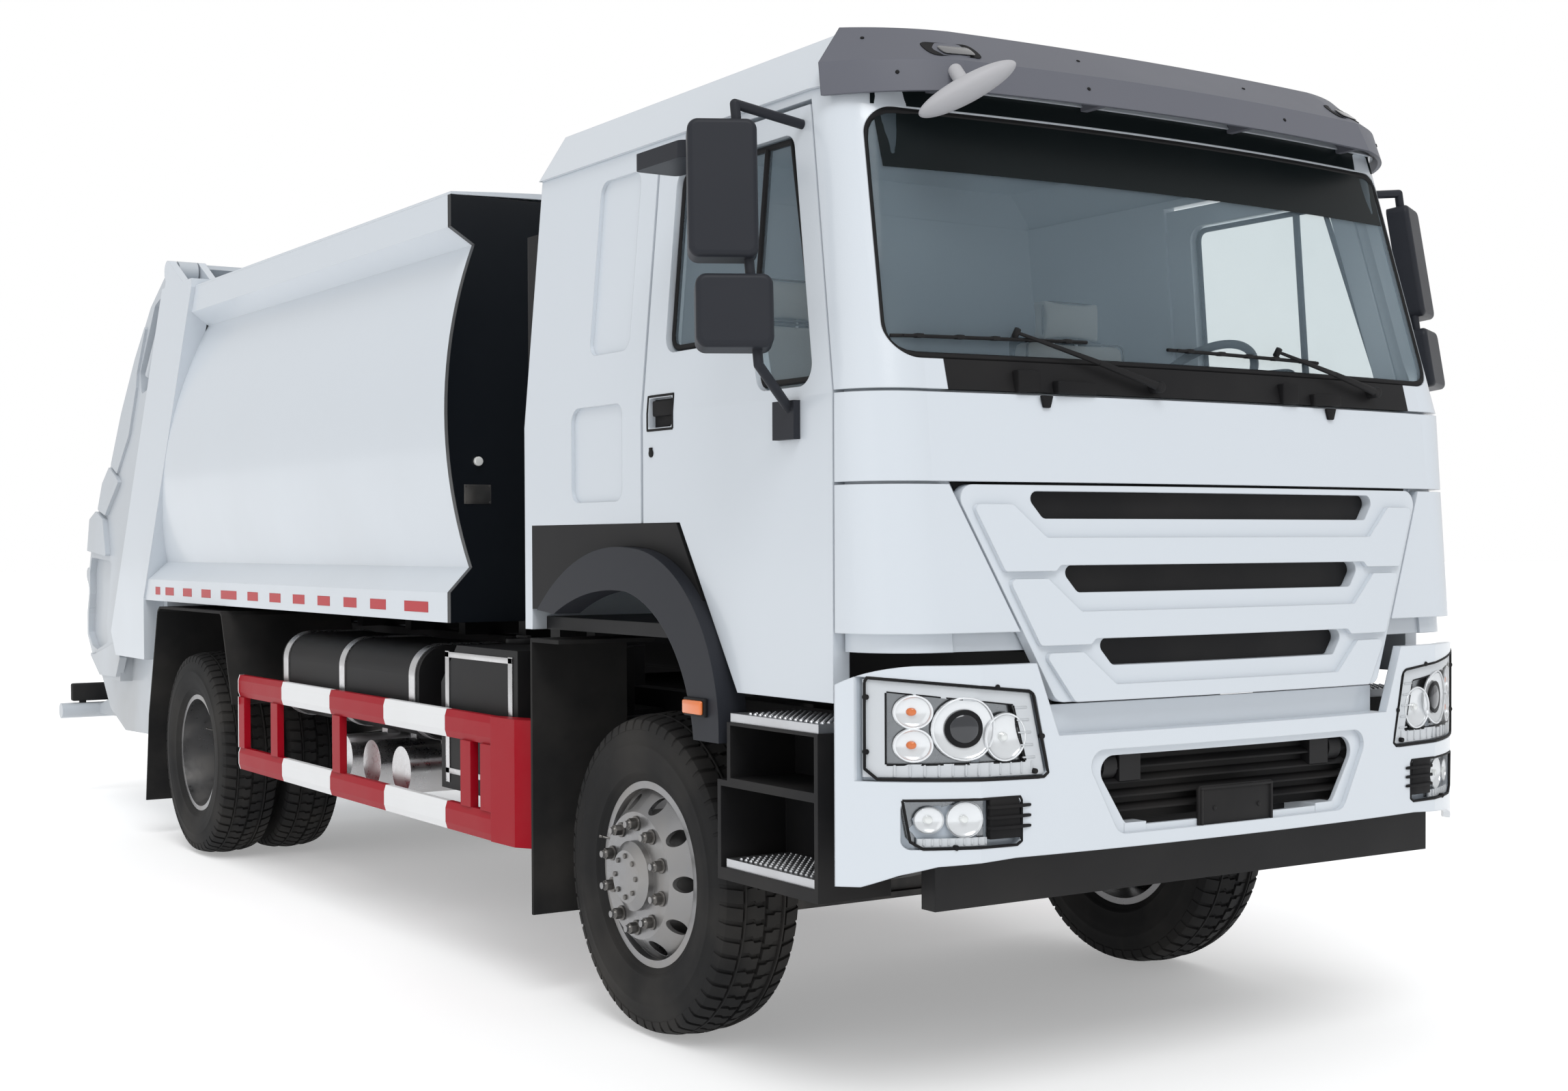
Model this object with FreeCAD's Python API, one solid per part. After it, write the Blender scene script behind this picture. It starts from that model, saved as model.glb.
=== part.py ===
"""Rear-loading garbage truck: a two-axle forward-control lorry with a compactor body.

Millimetres, +Z up. The front faces -Y and the driver's side is +X. Every piece is drawn with
the front axle at y = 0 and the ground at z = 0, and save() shifts it, so that the finished
truck stands on z = 0 with its origin midway between its nose and its tail.
"""
import FreeCAD
import Part
import math
import os

V = FreeCAD.Vector

# Whole vehicle
wheelbase = 4600.0
half_width = 1250.0
running_gap = 8.0
fillet_share = 0.48
tiny = 0.001
half_share = 0.5
seat_gap = 0.3
overrun = 20.0

# Tyres and wheels
tyre_radius = 522.0
tyre_width = 290.0
tyre_bead_radius = 288.0
tyre_shoulder_drop = 22.0
rim_radius = 300.0
rim_width = 228.0
rim_wall = 12.0
rim_flange = 10.0
disc_offset = 160.0
disc_wall = 14.0
disc_plate_radius = 204.0
hand_hole_radius = 26.0
hand_hole_circle = 238.0
hand_holes = 10
hub_radius = 112.0
stud_circle = 335.0
stud_radius = 11.0
stud_reach = 44.0
studs = 10
left_wheel_turn = 11.0
hub_cap_radius = 84.0
hub_cap_reach = 42.0
drum_radius = 206.0
drum_width = 170.0
spindle_radius = 46.0
spindle_clearance = 0.5
front_track = 2026.0
rear_track = 1794.0
dual_spacing = 2 * disc_offset + 10.0

# Front axle and steering
kingpin_spacing = 1800.0
kingpin_radius = 20.0
kingpin_height = 236.0
kingpin_fit = 0.5
beam_depth = 88.0
beam_width = 92.0
beam_drop = 120.0
beam_eye_radius = 44.0
beam_eye_height = 118.0
yoke_width = 92.0
yoke_wall = 50.0
yoke_gap = 6.0
steering_arm_length = 190.0

# Rear axle
axle_tube_radius = 72.0
differential_radius = 205.0
differential_length = 330.0

# Chassis frame
rail_height = 280.0
rail_flange = 80.0
rail_wall = 10.0
rail_top = 1020.0
frame_half_width = 425.0
frame_front = -1330.0
under_beam_half = 1000.0
under_beam_depth = 60.0
under_beam_low_z = 590.0
rear_overhang = 830.0
frame_rear = wheelbase + rear_overhang
crossmember_radius = 60.0
crossmembers = 6

# Leaf springs
front_spring_length = 1500.0
rear_spring_length = 1560.0
spring_width = 80.0
spring_depth = 92.0
spring_x = 385.0
spring_eye_radius = 32.0

# Engine, gearbox and propeller shaft
engine_half_width = 300.0
engine_front = -980.0
engine_length = 1250.0
engine_bottom = 560.0
engine_top = 1400.0
gearbox_length = 760.0
gearbox_radius = 190.0
shaft_radius = 55.0
shaft_height = 800.0

# Cab shell
cab_back = 750.0
cab_floor_z = 1290.0
cab_floor_wall = 45.0
cab_belt_z = 1994.0
cab_roof_z = 2862.0
cab_top_z = 3030.0
cab_low_z = 1140.0
cab_low_half = 1195.0
cab_belt_half = 1195.0
cab_roof_half = 1118.0
cab_belt_front = -1365.0
cab_roof_front = -1150.0
cab_low_front = -1450.0
cab_front_bow = 60.0
cab_corner_radius = 190.0
cab_wall = 55.0
cab_skin = 34.0
panel_gap = 8.0
roof_shoulder = 92.0
drip_rail = 14.0
tunnel_half_width = 380.0
tunnel_top = 1475.0
tunnel_back = 420.0
cab_pivot_y = -1385.0
cab_pivot_z = 960.0
cab_pivot_radius = 22.0
cab_arm_radius = 45.0
cab_arm_width = 50.0
cab_arm_back = 190.0
cab_arm_foot = 250.0

# Doors
door_front = -1142.0
door_front_high = -925.0
door_rear = -92.0
door_low_z = 1150.0
door_high_z = 2822.0
door_gap = 14.0
door_wall = 55.0
door_knee_y = -318.0
door_knee_z = 1652.0
door_toe_y = -645.0
door_corner = 60.0
window_low_z = 2178.0
window_dip_z = 2022.0
window_dip_y = -700.0
window_rear = -205.0
window_front = -1042.0
window_high_z = 2752.0
window_corner = 55.0
mirror_main_at = (-1416.0, -930.0, 2553.0)
mirror_main_size = (192.0, 74.0, 392.0)
mirror_wide_at = (-1416.0, -988.0, 2212.0)
mirror_wide_size = (212.0, 82.0, 205.0)
mirror_yaw = 28.0
mirror_lean = 9.0
mirror_corner = 30.0
mirror_round = 16.0
mirror_tube = 14.0
mirror_tube_offset = 56.0
mirror_pad = 22.0
mirror_pad_half = 54.0
mirror_elbow_z = 2070.0
mirror_top_z = 2796.0
mirror_foot = (-925.0, 1930.0)
mirror_root = (-890.0, 2766.0)
kerb_mirror_y = (-620.0, -340.0)
kerb_mirror_x = (-1362.0, -1206.0)
kerb_mirror_z = (2702.0, 2752.0)
kerb_mirror_corner = 24.0
kerb_arm_y = -470.0
front_mirror_at = (-893.0, -1343.0, 2810.0)
front_mirror_half = (146.0, 84.0, 34.0)
front_mirror_turn = -38.0
front_mirror_tilt = -27.0
front_mirror_root = (-840.0, -1225.0, 2890.0)
front_mirror_stem = 20.0
handle_y = (-272.0, -128.0)
handle_z = (1948.0, 2042.0)
handle_corner = 12.0
handle_depth = 26.0
glass_thickness = 8.0
glass_depth = 22.0

# Cab side pressings
side_recess_depth = 14.0
tall_recess_y = (30.0, 300.0)
tall_recess_z = (2210.0, 2790.0)
small_recess_y = (45.0, 395.0)
small_recess_z = (1725.0, 2040.0)
recess_corner = 45.0

# Seats and dashboard
seat_x = 620.0
seat_half = 250.0
seat_y = (-480.0, 60.0)
seat_z = 1780.0
seat_cushion = 130.0
seat_back_z = 2480.0
seat_lean = 150.0
dash_half = 1070.0
dash_y = (-1045.0, -720.0)
dash_z = (1720.0, 1985.0)
dash_wall = 110.0
wheel_rim_radius = 225.0
wheel_rim_tube = 17.0
wheel_rim_at = (-560.0, 1990.0)
wheel_rim_lean = 48.0

# Windscreen
screen_low_z = 2086.0
screen_high_z = 2800.0
screen_low_half = 1108.0
screen_high_half = 1050.0
screen_corner = 90.0

# Nose panels
hood_low_z = 1752.0
corner_low_z = 1342.0
grille_top_half = 948.0
grille_low_half = 650.0
grille_low_z = 1146.0
grille_corner = 40.0
slot_top_z = (1727.0, 1522.0, 1318.0)
slot_height = 76.0
slot_half = (717.0, 616.0, 512.0)
slot_taper = 62.0
slot_corner = 22.0
band_rise = 15.0
band_drop = 52.0
band_step = 36.0
band_flare = 44.0
band_margin = 26.0
band_lap = 16.0
band_corner = 14.0
grille_mesh_wall = 8.0
grille_mesh_low_z = 1182.0
cowl_half = 935.0
cowl_low_z = 2002.0

# Sun visor
visor_low_z = door_high_z + panel_gap
visor_fold_z = 2925.0
visor_top_z = 3046.0
visor_low = (1136.0, -1000.0, 810.0, -1262.0, -1324.0)
visor_fold = (1134.0, -985.0, 805.0, -1216.0, -1270.0)
visor_top = (1030.0, -940.0, 740.0, -1066.0, -1098.0)
visor_bulge = 0.42
visor_wall = 12.0
visor_web = 20.0
visor_webs = (-840.0, -300.0, 300.0, 840.0)

# Bumper and lamps
bumper_front = -1474.0
bumper_foot = ((1200.0, 668.0), (1120.0, 700.0), (1030.0, 722.0), (810.0, 735.0))
bumper_horn_drop = 68.0
bumper_bow = 45.0
bumper_corner_radius = 330.0
bumper_corner_share = 0.43
bumper_wall = 30.0
bumper_side_y = -1216.0
bumper_low_z = 736.0
bumper_high_z = 1258.0
bumper_ledge_z = 1058.0
bumper_band_z = 1138.0
bumper_band_setback = 62.0
bumper_band_wall = 12.0
bumper_swing_radius = 300.0
bumper_bracket_top = 800.0
intake_top_half = 545.0
intake_low_half = 418.0
intake_top_z = 992.0
intake_low_z = 792.0
intake_corner = 45.0
intake_lip = 38.0
intake_lip_depth = 16.0
lamp_outer_z = (952.0, 1236.0)
lamp_inner_z = (944.0, 1186.0)
lamp_inner_x = (694.0, 746.0)
lamp_depth = 28.0
lamp_corner = 34.0
lamp_outer_x = 1262.0
lamp_rear_y = -1254.0
lens_inset = 4.0
lamp_gap = 3.0
fog_z = (768.0, 902.0)
fog_x = (792.0, 1116.0)
fog_corner = 26.0

# Steps
step_inner_x = 985.0
step_outer_x = 1232.0
step_front_y = -1112.0
step_low_rear_y = -592.0
step_high_rear_y = -645.0
step_low_z = 602.0
step_mid_z = 895.0
step_high_z = 1092.0
step_wall = 18.0
tread_wall = 26.0
tread_inset = 8.0

# Fender trims
arch_outer_x = 1240.0
arch_inner_x = 1140.0
arch_top = (-80.0, 1574.0)
arch_drop = 60.0
arch_rear = (570.0, 1362.0)
arch_front = (-612.0, 1000.0)
arch_rear_mid = (290.0, 1528.0)
arch_front_mid = (-440.0, 1425.0)
arch_in_top = (-52.0, 1436.0)
arch_in_rear = (445.0, 1352.0)
arch_in_front = (-468.0, 1000.0)
arch_in_rear_mid = (215.0, 1422.0)
arch_in_front_mid = (-330.0, 1290.0)
trim_wall = 26.0
trim_low_z = 1152.0

# Refuse body
cab_body_gap = 650.0
body_front = cab_back + cab_body_gap - wheelbase
body_wall = 30.0
body_low_z = 1290.0
body_high_z = 2915.0
body_rail_x = 1190.0
body_top_rail_x = 1178.0

# Refuse body sections
body_rail_step_z = 1405.0
body_waist_low = (1100.0, 1500.0)
body_bulge = (1198.0, 2060.0)
body_waist_high = (1080.0, 2731.0)
body_lip = (1178.0, 2793.0)
body_liner_x = 1060.0
body_liner_bulge_x = 1168.0
body_skin = 30.0
roof_edge_z = 2925.0
roof_crown_z = 2966.0
body_floor_z = 1330.0
runner_z = 1180.0
runner_width = 80.0
bearer_half = 540.0
bearer_width = 70.0
bearer_setback = 60.0
bearer_last_y = 580.0
bearers = 7

# Rear frame of the body and the seam it shares with the tailgate, from the rear axle back
seam_high = (515.0, 2925.0)
seam_low = (1580.0, 1095.0)
post_front_high = (50.0, 2790.0)
post_front_low = (900.0, 1300.0)
post_foot = ((1485.0, 960.0), (900.0, 960.0))
post_outer_x = 1200.0
post_inner_x = 1090.0
post_top_z = 2960.0
sill_bar_z = 1200.0
hinge_y = 390.0
hinge_z = 3040.0
hinge_pin_radius = 24.0
hinge_boss_radius = 58.0
hinge_lug_wall = 40.0
hinge_lug_foot_y = 130.0

# Tailgate, from the rear axle back
tail_seam_gap = 14.0
tail_outer_x = 1150.0
tail_inner_x = 1050.0
tail_cheek_x = 1080.0
tail_rear = (
    (618.0, 3036.0), (883.0, 2903.0), (1162.0, 2674.0), (1456.0, 2382.0), (1712.0, 2076.0),
    (1868.0, 1973.0), (1977.0, 1811.0), (2137.0, 1759.0), (2198.0, 1565.0), (2257.0, 1425.0),
    (2260.0, 1300.0), (2305.0, 1180.0), (2305.0, 1050.0), (2200.0, 940.0), (1960.0, 800.0),
    (1580.0, 800.0), (1560.0, 940.0),
)
tail_cover = ((410.0, 3092.0), (618.0, 3022.0), (880.0, 2888.0), (1156.0, 2660.0), (1448.0, 2370.0),
              (1690.0, 2078.0))
tail_cover_wall = 24.0
ram_slot = ((573.0, 2969.0), (800.0, 2905.0), (1100.0, 2560.0), (1080.0, 2440.0), (802.0, 2480.0), (629.0, 2868.0))
ram_slot_depth = 62.0
ram_slot_corner = 28.0
lift_ram = ((676.0, 2880.0), (1010.0, 2540.0))
lift_ram_radius = 30.0
lift_ram_eye = 46.0
cover_plates = (
    ((900.0, 2850.0), (1162.0, 2640.0), (1456.0, 2350.0), (1690.0, 2060.0), (1560.0, 2010.0), (1300.0, 2220.0),
     (1140.0, 2480.0), (1120.0, 2560.0)),
    ((1700.0, 2050.0), (1852.0, 1960.0), (1960.0, 1806.0), (1800.0, 1770.0), (1500.0, 1960.0), (1570.0, 2000.0)),
    ((1976.0, 1796.0), (2120.0, 1750.0), (2180.0, 1560.0), (1760.0, 1530.0), (1820.0, 1750.0)),
    ((1640.0, 1020.0), (1500.0, 945.0), (1590.0, 826.0), (1950.0, 820.0), (2190.0, 950.0), (2080.0, 935.0)),
)
cover_plate_rise = (14.0, 22.0, 30.0, 22.0)
cover_plate_corner = 10.0
lifter_well = ((1740.0, 1500.0), (1790.0, 1330.0), (1870.0, 1130.0), (1830.0, 1020.0), (2080.0, 965.0),
               (2190.0, 985.0), (2280.0, 1060.0), (2270.0, 1180.0), (2235.0, 1300.0), (2235.0, 1425.0), (2186.0, 1520.0))
lifter_well_depth = 38.0
lifter_well_corner = 30.0
trough_centre = (1680.0, 1240.0)
trough_radius = 700.0
trough_wall = 30.0
trough_sill = 342.0
cheek_foot = ((950.0, 1240.0), (890.0, 900.0), (910.0, 640.0), (1040.0, 520.0), (1730.0, 500.0),
              (2060.0, 610.0), (2280.0, 830.0), (2380.0, 1010.0), (2340.0, 1240.0))

# Packer inside the tailgate
carriage_lug_x = (-860.0, -420.0, 20.0, 420.0, 820.0)
blade_knuckle_x = (-800.0, -360.0, 80.0, 480.0, 760.0)
carriage_pin_half = 900.0
blade_pivot = (1350.0, 1770.0)
blade_length = 665.0
blade_wall = 60.0
blade_lean = 11.5
blade_pivot_radius = 52.0
blade_pin_radius = 24.0
packer_half = 985.0
carriage_length = 740.0
carriage_wall = 130.0
carriage_end_gap = 70.0
shoe_wall = 60.0
shoe_length = 160.0

# Bin lifter
lifter_pivot = (2240.0, 1200.0)
lifter_beam = (2490.0, 1080.0)
lifter_bar = (2700.0, 1408.0)
lifter_outer_x = 1040.0
lifter_arm_wall = 36.0
lifter_arm_depth = 90.0
lifter_tube = 46.0
lifter_pin_radius = 24.0
comb_half = 760.0
comb_wall = 14.0
comb_teeth = 11
comb_tooth = 60.0
ram_base = (2550.0, 620.0)
ram_eye = (2580.0, 1160.0)
ram_lug_root = (2000.0, 650.0)
ram_radius = 40.0
ram_eye_radius = 34.0
ram_pin_radius = 16.0
ram_rod_radius = 22.0
ram_barrel_length = 440.0
ram_lug_gap = 36.0
ram_lug_wall = 20.0
guard_tube = (2820.0, 545.0)
guard_tube_radius = 48.0
guard_tube_half = 1190.0
guard_arm = (900.0, 960.0)
guard_arm_root = (1960.0, 620.0)

# Side equipment
tank_rear_gap = 1140.0
tank_y = (1860.0, wheelbase - tank_rear_gap)
tank_x = (640.0, 1125.0)
tank_z = (800.0, 1180.0)
tank_corner = 120.0
strap_width = 60.0
strap_wall = 6.0
box_y = (960.0, 1640.0)
box_z = (640.0, 1200.0)
box_chamfer = 150.0
air_tank_radius = 98.0
air_tank_length = 440.0
air_tank_z = 660.0
air_tank_start_share = 0.15
air_tank_pitch_share = 0.2
air_tanks = 3
duct_x = (960.0, 1100.0)
duct_y = (800.0, 930.0)
duct_z = (1300.0, 2690.0)
duct_corner = 28.0

# Side guards
guard_x = 1200.0
guard_wall = 32.0
guard_rear_gap = 710.0
guard_y = (1035.0, wheelbase - guard_rear_gap)
guard_nose_y = 672.0
guard_nose_x = 1080.0
guard_z = (505.0, 962.0)
guard_rail = 106.0
guard_post_width = 90.0
guard_post_shares = (0.0, 0.0633, 0.5443, 0.83, 1.0)
guard_bar_gaps = (80.0, 180.0)
guard_nose_round = 70.0
guard_rib = 8.0

# Mudguards
flap_y = 640.0
flap_wall = 14.0
flap_lip_y = 440.0
flap_x = (850.0, 1225.0)
flap_z = (300.0, 1262.0)
rear_guard_x = (560.0, 1225.0)
rear_guard_line = ((-700.0, 820.0), (-545.0, 1245.0), (-520.0, 1264.0), (510.0, 1264.0), (550.0, 1240.0), (730.0, 670.0), (800.0, 195.0))
rear_guard_inner_line = ((-688.0, 816.0), (-535.0, 1238.0), (-515.0, 1252.0), (505.0, 1252.0), (540.0, 1234.0), (718.0, 667.0), (788.0, 195.0))
rear_guard_bar_y = (-700.0, 640.0)

origin_shift = -(bumper_front + wheelbase + guard_tube[0] + guard_tube_radius) / 2


def block(x, y, z):
    """A box between two x, two y and two z values."""
    return Part.makeBox(x[1] - x[0], y[1] - y[0], z[1] - z[0], V(x[0], y[0], z[0]))


def rod(start, end, radius):
    """A round bar between two points."""
    a, b = V(*start), V(*end)
    return Part.makeCylinder(radius, (b - a).Length, a, b - a)


def loop(points, radius=0.0):
    """A closed wire through 3D points, its corners rounded where a radius is given."""
    corners = [V(*p) for p in points]
    if not radius:
        return Part.makePolygon(corners + corners[:1])
    edges = []
    ends = []
    count = len(corners)
    for i, corner in enumerate(corners):
        before = (corners[i - 1] - corner).normalize()
        after = (corners[(i + 1) % count] - corner).normalize()
        half_turn = before.getAngle(after) / 2
        reach = radius / math.tan(half_turn)
        shortest = min((corners[i - 1] - corner).Length, (corners[(i + 1) % count] - corner).Length)
        reach = min(reach, shortest * fillet_share)
        depth = reach * math.tan(half_turn)
        bisector = (before + after).normalize()
        centre = corner + bisector * math.hypot(reach, depth)
        ends.append((corner + before * reach, centre - bisector * depth, corner + after * reach))
    for i, (first, middle, last) in enumerate(ends):
        edges.append(Part.Arc(first, middle, last).toShape())
        following = ends[(i + 1) % count][0]
        if (following - last).Length > tiny:
            edges.append(Part.makeLine(last, following))
    return Part.Wire(edges)


def prism(axis, points, span, radius=0.0):
    """A prism along x, y or z. The points lack that axis's coordinate, and span is its two ends."""
    def place(p, s):
        return {"x": (s, p[0], p[1]), "y": (p[0], s, p[1]), "z": (p[0], p[1], s)}[axis]

    face = Part.Face(loop([place(p, span[0]) for p in points], radius))
    return face.extrude(V(*place((0, 0), span[1] - span[0])))


def mirrored(shape):
    """The same shape on the other side of the truck."""
    return shape.mirror(V(0, 0, 0), V(1, 0, 0))


def pair(shape):
    """A piece on the right of the truck and its twin on the left, as loose solids."""
    return Part.makeCompound([shape, mirrored(shape)])


def fused(shapes):
    """Shapes joined into one solid where they meet."""
    joined = shapes[0]
    for other in shapes[1:]:
        joined = joined.fuse(other)
    return joined.removeSplitter()


def save(name, shape, drawn_from=0.0):
    """Writes one piece, moved to the truck's own origin from the axle it was drawn from."""
    moved = shape.copy()
    moved.translate(V(0, origin_shift + drawn_from, 0))
    solids = moved.Solids
    assert solids and all(s.isValid() for s in solids), name
    whole = solids[0] if len(solids) == 1 else Part.makeCompound(solids)
    whole.exportStep("parts/" + name + ".step")


def ring(profile):
    """Turns a closed profile of (x, radius) points about the x axis."""
    face = Part.Face(loop([(x, 0, r) for x, r in profile]))
    return face.revolve(V(0, 0, 0), V(1, 0, 0), 360)


def tyre():
    """One tyre about the x axis, its middle at the origin."""
    side = tyre_width / 2
    shoulder = side * 0.9
    bead = rim_width / 2 - rim_flange - seat_gap
    crown_edge = tyre_radius - tyre_shoulder_drop
    waist = (tyre_bead_radius + crown_edge) / 2
    low = V(-bead, 0, tyre_bead_radius)
    clinch = V(-bead, 0, rim_radius + 2 * seat_gap)
    high = V(-shoulder, 0, crown_edge)
    edges = [
        Part.makeLine(low, clinch),
        Part.Arc(clinch, V(-side, 0, waist), high).toShape(),
        Part.Arc(high, V(0, 0, tyre_radius), V(shoulder, 0, crown_edge)).toShape(),
        Part.Arc(V(shoulder, 0, crown_edge), V(side, 0, waist), V(bead, 0, clinch.z)).toShape(),
        Part.makeLine(V(bead, 0, clinch.z), V(bead, 0, tyre_bead_radius)),
        Part.makeLine(V(bead, 0, tyre_bead_radius), low),
    ]
    return Part.Face(Part.Wire(edges)).revolve(V(0, 0, 0), V(1, 0, 0), 360)


def rim():
    """A pressed wheel about the x axis, its disc standing out towards -x."""
    half = rim_width / 2
    seat = tyre_bead_radius - seat_gap
    inner = seat - rim_wall
    barrel = ring([
        (-half, inner), (half, inner), (half, rim_radius), (half - rim_flange, rim_radius),
        (half - rim_flange, seat), (rim_flange - half, seat), (rim_flange - half, rim_radius),
        (-half, rim_radius),
    ])
    cone_foot = -disc_offset / 2
    disc = ring([
        (cone_foot, inner + rim_wall / 2), (cone_foot + 2 * disc_wall, inner + rim_wall / 2),
        (disc_wall - disc_offset, disc_plate_radius), (disc_wall - disc_offset, hub_radius),
        (-disc_offset, hub_radius), (-disc_offset, disc_plate_radius),
    ])
    for i in range(hand_holes):
        angle = 2 * math.pi * i / hand_holes
        y = hand_hole_circle * math.cos(angle)
        z = hand_hole_circle * math.sin(angle)
        disc = disc.cut(rod((-disc_offset, y, z), (half, y, z), hand_hole_radius))
    return barrel.fuse(disc)


def hub(inner_x, bore_depth):
    """Hub, cap and brake drum about the x axis. The wheel's disc bolts on at x = 0."""
    bore = spindle_radius + spindle_clearance
    return fused([
        ring([(-disc_wall, bore), (inner_x, bore), (inner_x, hub_radius), (-disc_wall, hub_radius)]),
        ring([
            (-hub_cap_reach, 0), (-disc_wall, 0), (-disc_wall, hub_radius), (-hub_cap_reach / 2, hub_radius),
            (-hub_cap_reach, hub_cap_radius),
        ]),
        ring([
            (disc_wall, hub_radius - disc_wall), (2 * disc_wall, hub_radius - disc_wall),
            (2 * disc_wall, drum_radius - disc_wall), (drum_width, drum_radius - disc_wall),
            (drum_width, drum_radius), (disc_wall, drum_radius),
        ]),
    ])


def stud_ring():
    """The wheel studs about the x axis, standing out towards -x from the disc's face at x = 0."""
    ring_radius = stud_circle / 2
    pins = []
    for i in range(studs):
        angle = 2 * math.pi * (i + half_share) / studs
        at = (ring_radius * math.cos(angle), ring_radius * math.sin(angle))
        pins.append(rod((disc_wall / 2, *at), (-stud_reach, *at), stud_radius))
    return pins


def placed(shape, x, y, z, flip=False):
    """A copy moved to a point, turned to face the other side first if flip is set."""
    copy = mirrored(shape) if flip else shape.copy()
    copy.translate(V(x, y, z))
    return copy


def wheels():
    """Four road wheels, with one tyre in front and two behind on each side."""
    front_x = front_track / 2
    front_face = front_x + disc_offset
    outer_x = (rear_track + dual_spacing) / 2
    inner_x = outer_x - dual_spacing
    rear_face = outer_x - disc_offset - rim_flange / 2
    front_hub = placed(hub(drum_width, drum_width), -front_face, 0, tyre_radius)
    front_studs = [placed(pin, -front_face, 0, tyre_radius) for pin in stud_ring()]
    front = fused([placed(rim(), -front_x, 0, tyre_radius), front_hub] + front_studs)
    save("wheel_front_right", front)
    left = mirrored(front)
    left.rotate(V(0, 0, tyre_radius), V(1, 0, 0), left_wheel_turn)
    save("wheel_front_left", left)
    front_tyre = placed(tyre(), -front_x, 0, tyre_radius)
    save("tyre_front_right", front_tyre)
    save("tyre_front_left", mirrored(front_tyre))
    spacer = ring([
        (-rim_flange / 2, hub_radius - disc_wall), (rim_flange / 2, hub_radius - disc_wall),
        (rim_flange / 2, disc_plate_radius), (-rim_flange / 2, disc_plate_radius),
    ])
    rear = fused([
        placed(rim(), -outer_x, wheelbase, tyre_radius, flip=True),
        placed(rim(), -inner_x, wheelbase, tyre_radius),
        placed(spacer, -rear_face, wheelbase, tyre_radius),
        placed(hub(drum_width, drum_width), -rear_face - hub_cap_reach, wheelbase, tyre_radius),
        placed(ring([
            (-hub_cap_reach, spindle_radius + spindle_clearance), (disc_wall, spindle_radius + spindle_clearance),
            (disc_wall, hub_radius), (-hub_cap_reach, hub_radius),
        ]), -rear_face, wheelbase, tyre_radius),
    ] + [placed(pin, -rear_face - disc_wall, wheelbase, tyre_radius) for pin in stud_ring()])
    save("wheels_rear_right", rear)
    save("wheels_rear_left", mirrored(rear))
    rear_tyres = Part.makeCompound([
        placed(tyre(), -outer_x, wheelbase, tyre_radius), placed(tyre(), -inner_x, wheelbase, tyre_radius),
    ])
    save("tyres_rear_right", rear_tyres)
    save("tyres_rear_left", mirrored(rear_tyres))


def knuckles():
    """Steering knuckles: a yoke round the kingpin, the wheel's spindle and a steering arm."""
    x = -kingpin_spacing / 2
    half = yoke_width / 2
    ear = beam_eye_height / 2 + yoke_gap
    top = kingpin_height / 2
    web = x - beam_eye_radius - yoke_gap
    yoke = block((web - yoke_wall / 2, x + half), (-half, half), (tyre_radius - top, tyre_radius + top))
    yoke = yoke.cut(block((web, x + half + overrun), (-half - overrun, half + overrun),
                          (tyre_radius - ear, tyre_radius + ear)))
    spindle_end = -front_track / 2 - disc_offset + disc_wall + yoke_gap
    spindle = rod((web - yoke_wall / 4, 0, tyre_radius), (spindle_end, 0, tyre_radius), spindle_radius)
    arm_z = (tyre_radius - top, tyre_radius - ear)
    arm = block((x - half, x + half), (0, steering_arm_length), arm_z)
    shape = fused([yoke, spindle, arm])
    shape = shape.cut(rod(
        (x, 0, tyre_radius - top - overrun), (x, 0, tyre_radius + top + overrun), kingpin_radius + kingpin_fit,
    ))
    save("knuckle_right", shape)
    save("knuckle_left", mirrored(shape))


def front_axle():
    """A dropped axle beam with an eye and a kingpin at each end."""
    end = kingpin_spacing / 2
    deep = beam_depth / 2
    top = tyre_radius + deep
    low = tyre_radius - deep
    neck = end - 2 * beam_drop
    outline = [
        (-end, top), (-neck - beam_drop, top), (-neck, top - beam_drop), (neck, top - beam_drop),
        (neck + beam_drop, top), (end, top), (end, low), (neck + beam_drop / 2, low),
        (neck - beam_drop / 2, low - beam_drop), (beam_drop / 2 - neck, low - beam_drop),
        (-neck - beam_drop / 2, low), (-end, low),
    ]
    beam = prism("y", outline, (-beam_width / 2, beam_width / 2))
    scoop_x = neck - beam_drop
    scoop_z = (low - beam_drop + deep / 2, top - beam_drop - deep / 2)
    for side in (-1, 1):
        y = sorted((side * beam_width / 4, side * beam_width))
        beam = beam.cut(block((-scoop_x, scoop_x), y, scoop_z))
    pieces = [beam]
    for x in (-end, end):
        eye = beam_eye_height / 2
        pieces.append(rod((x, 0, tyre_radius - eye), (x, 0, tyre_radius + eye), beam_eye_radius))
        pin = kingpin_height / 2
        pieces.append(rod((x, 0, tyre_radius - pin), (x, 0, tyre_radius + pin), kingpin_radius))
    return fused(pieces)


def final_drive():
    """The round housing in the middle of the rear axle with its nose."""
    at = V(0, wheelbase, tyre_radius)
    nose = Part.makeCone(differential_radius / 2, 2 * shaft_radius, differential_length, at, V(0, -1, 0))
    return Part.makeSphere(differential_radius, at).fuse(nose)


def rear_axle():
    """A banjo housing with the final drive in the middle and a spindle at each end."""
    outer_x = (rear_track + dual_spacing) / 2
    face = outer_x - disc_offset - rim_flange / 2
    spindle_end = face + hub_cap_reach - disc_wall - yoke_gap
    tube_end = face + hub_cap_reach - drum_width - running_gap
    at = (wheelbase, tyre_radius)
    housing = fused([
        rod((-tube_end, *at), (tube_end, *at), axle_tube_radius),
        rod((-spindle_end, *at), (spindle_end, *at), spindle_radius),
        final_drive(),
    ])
    save("axles", Part.makeCompound([front_axle(), housing]))


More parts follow.
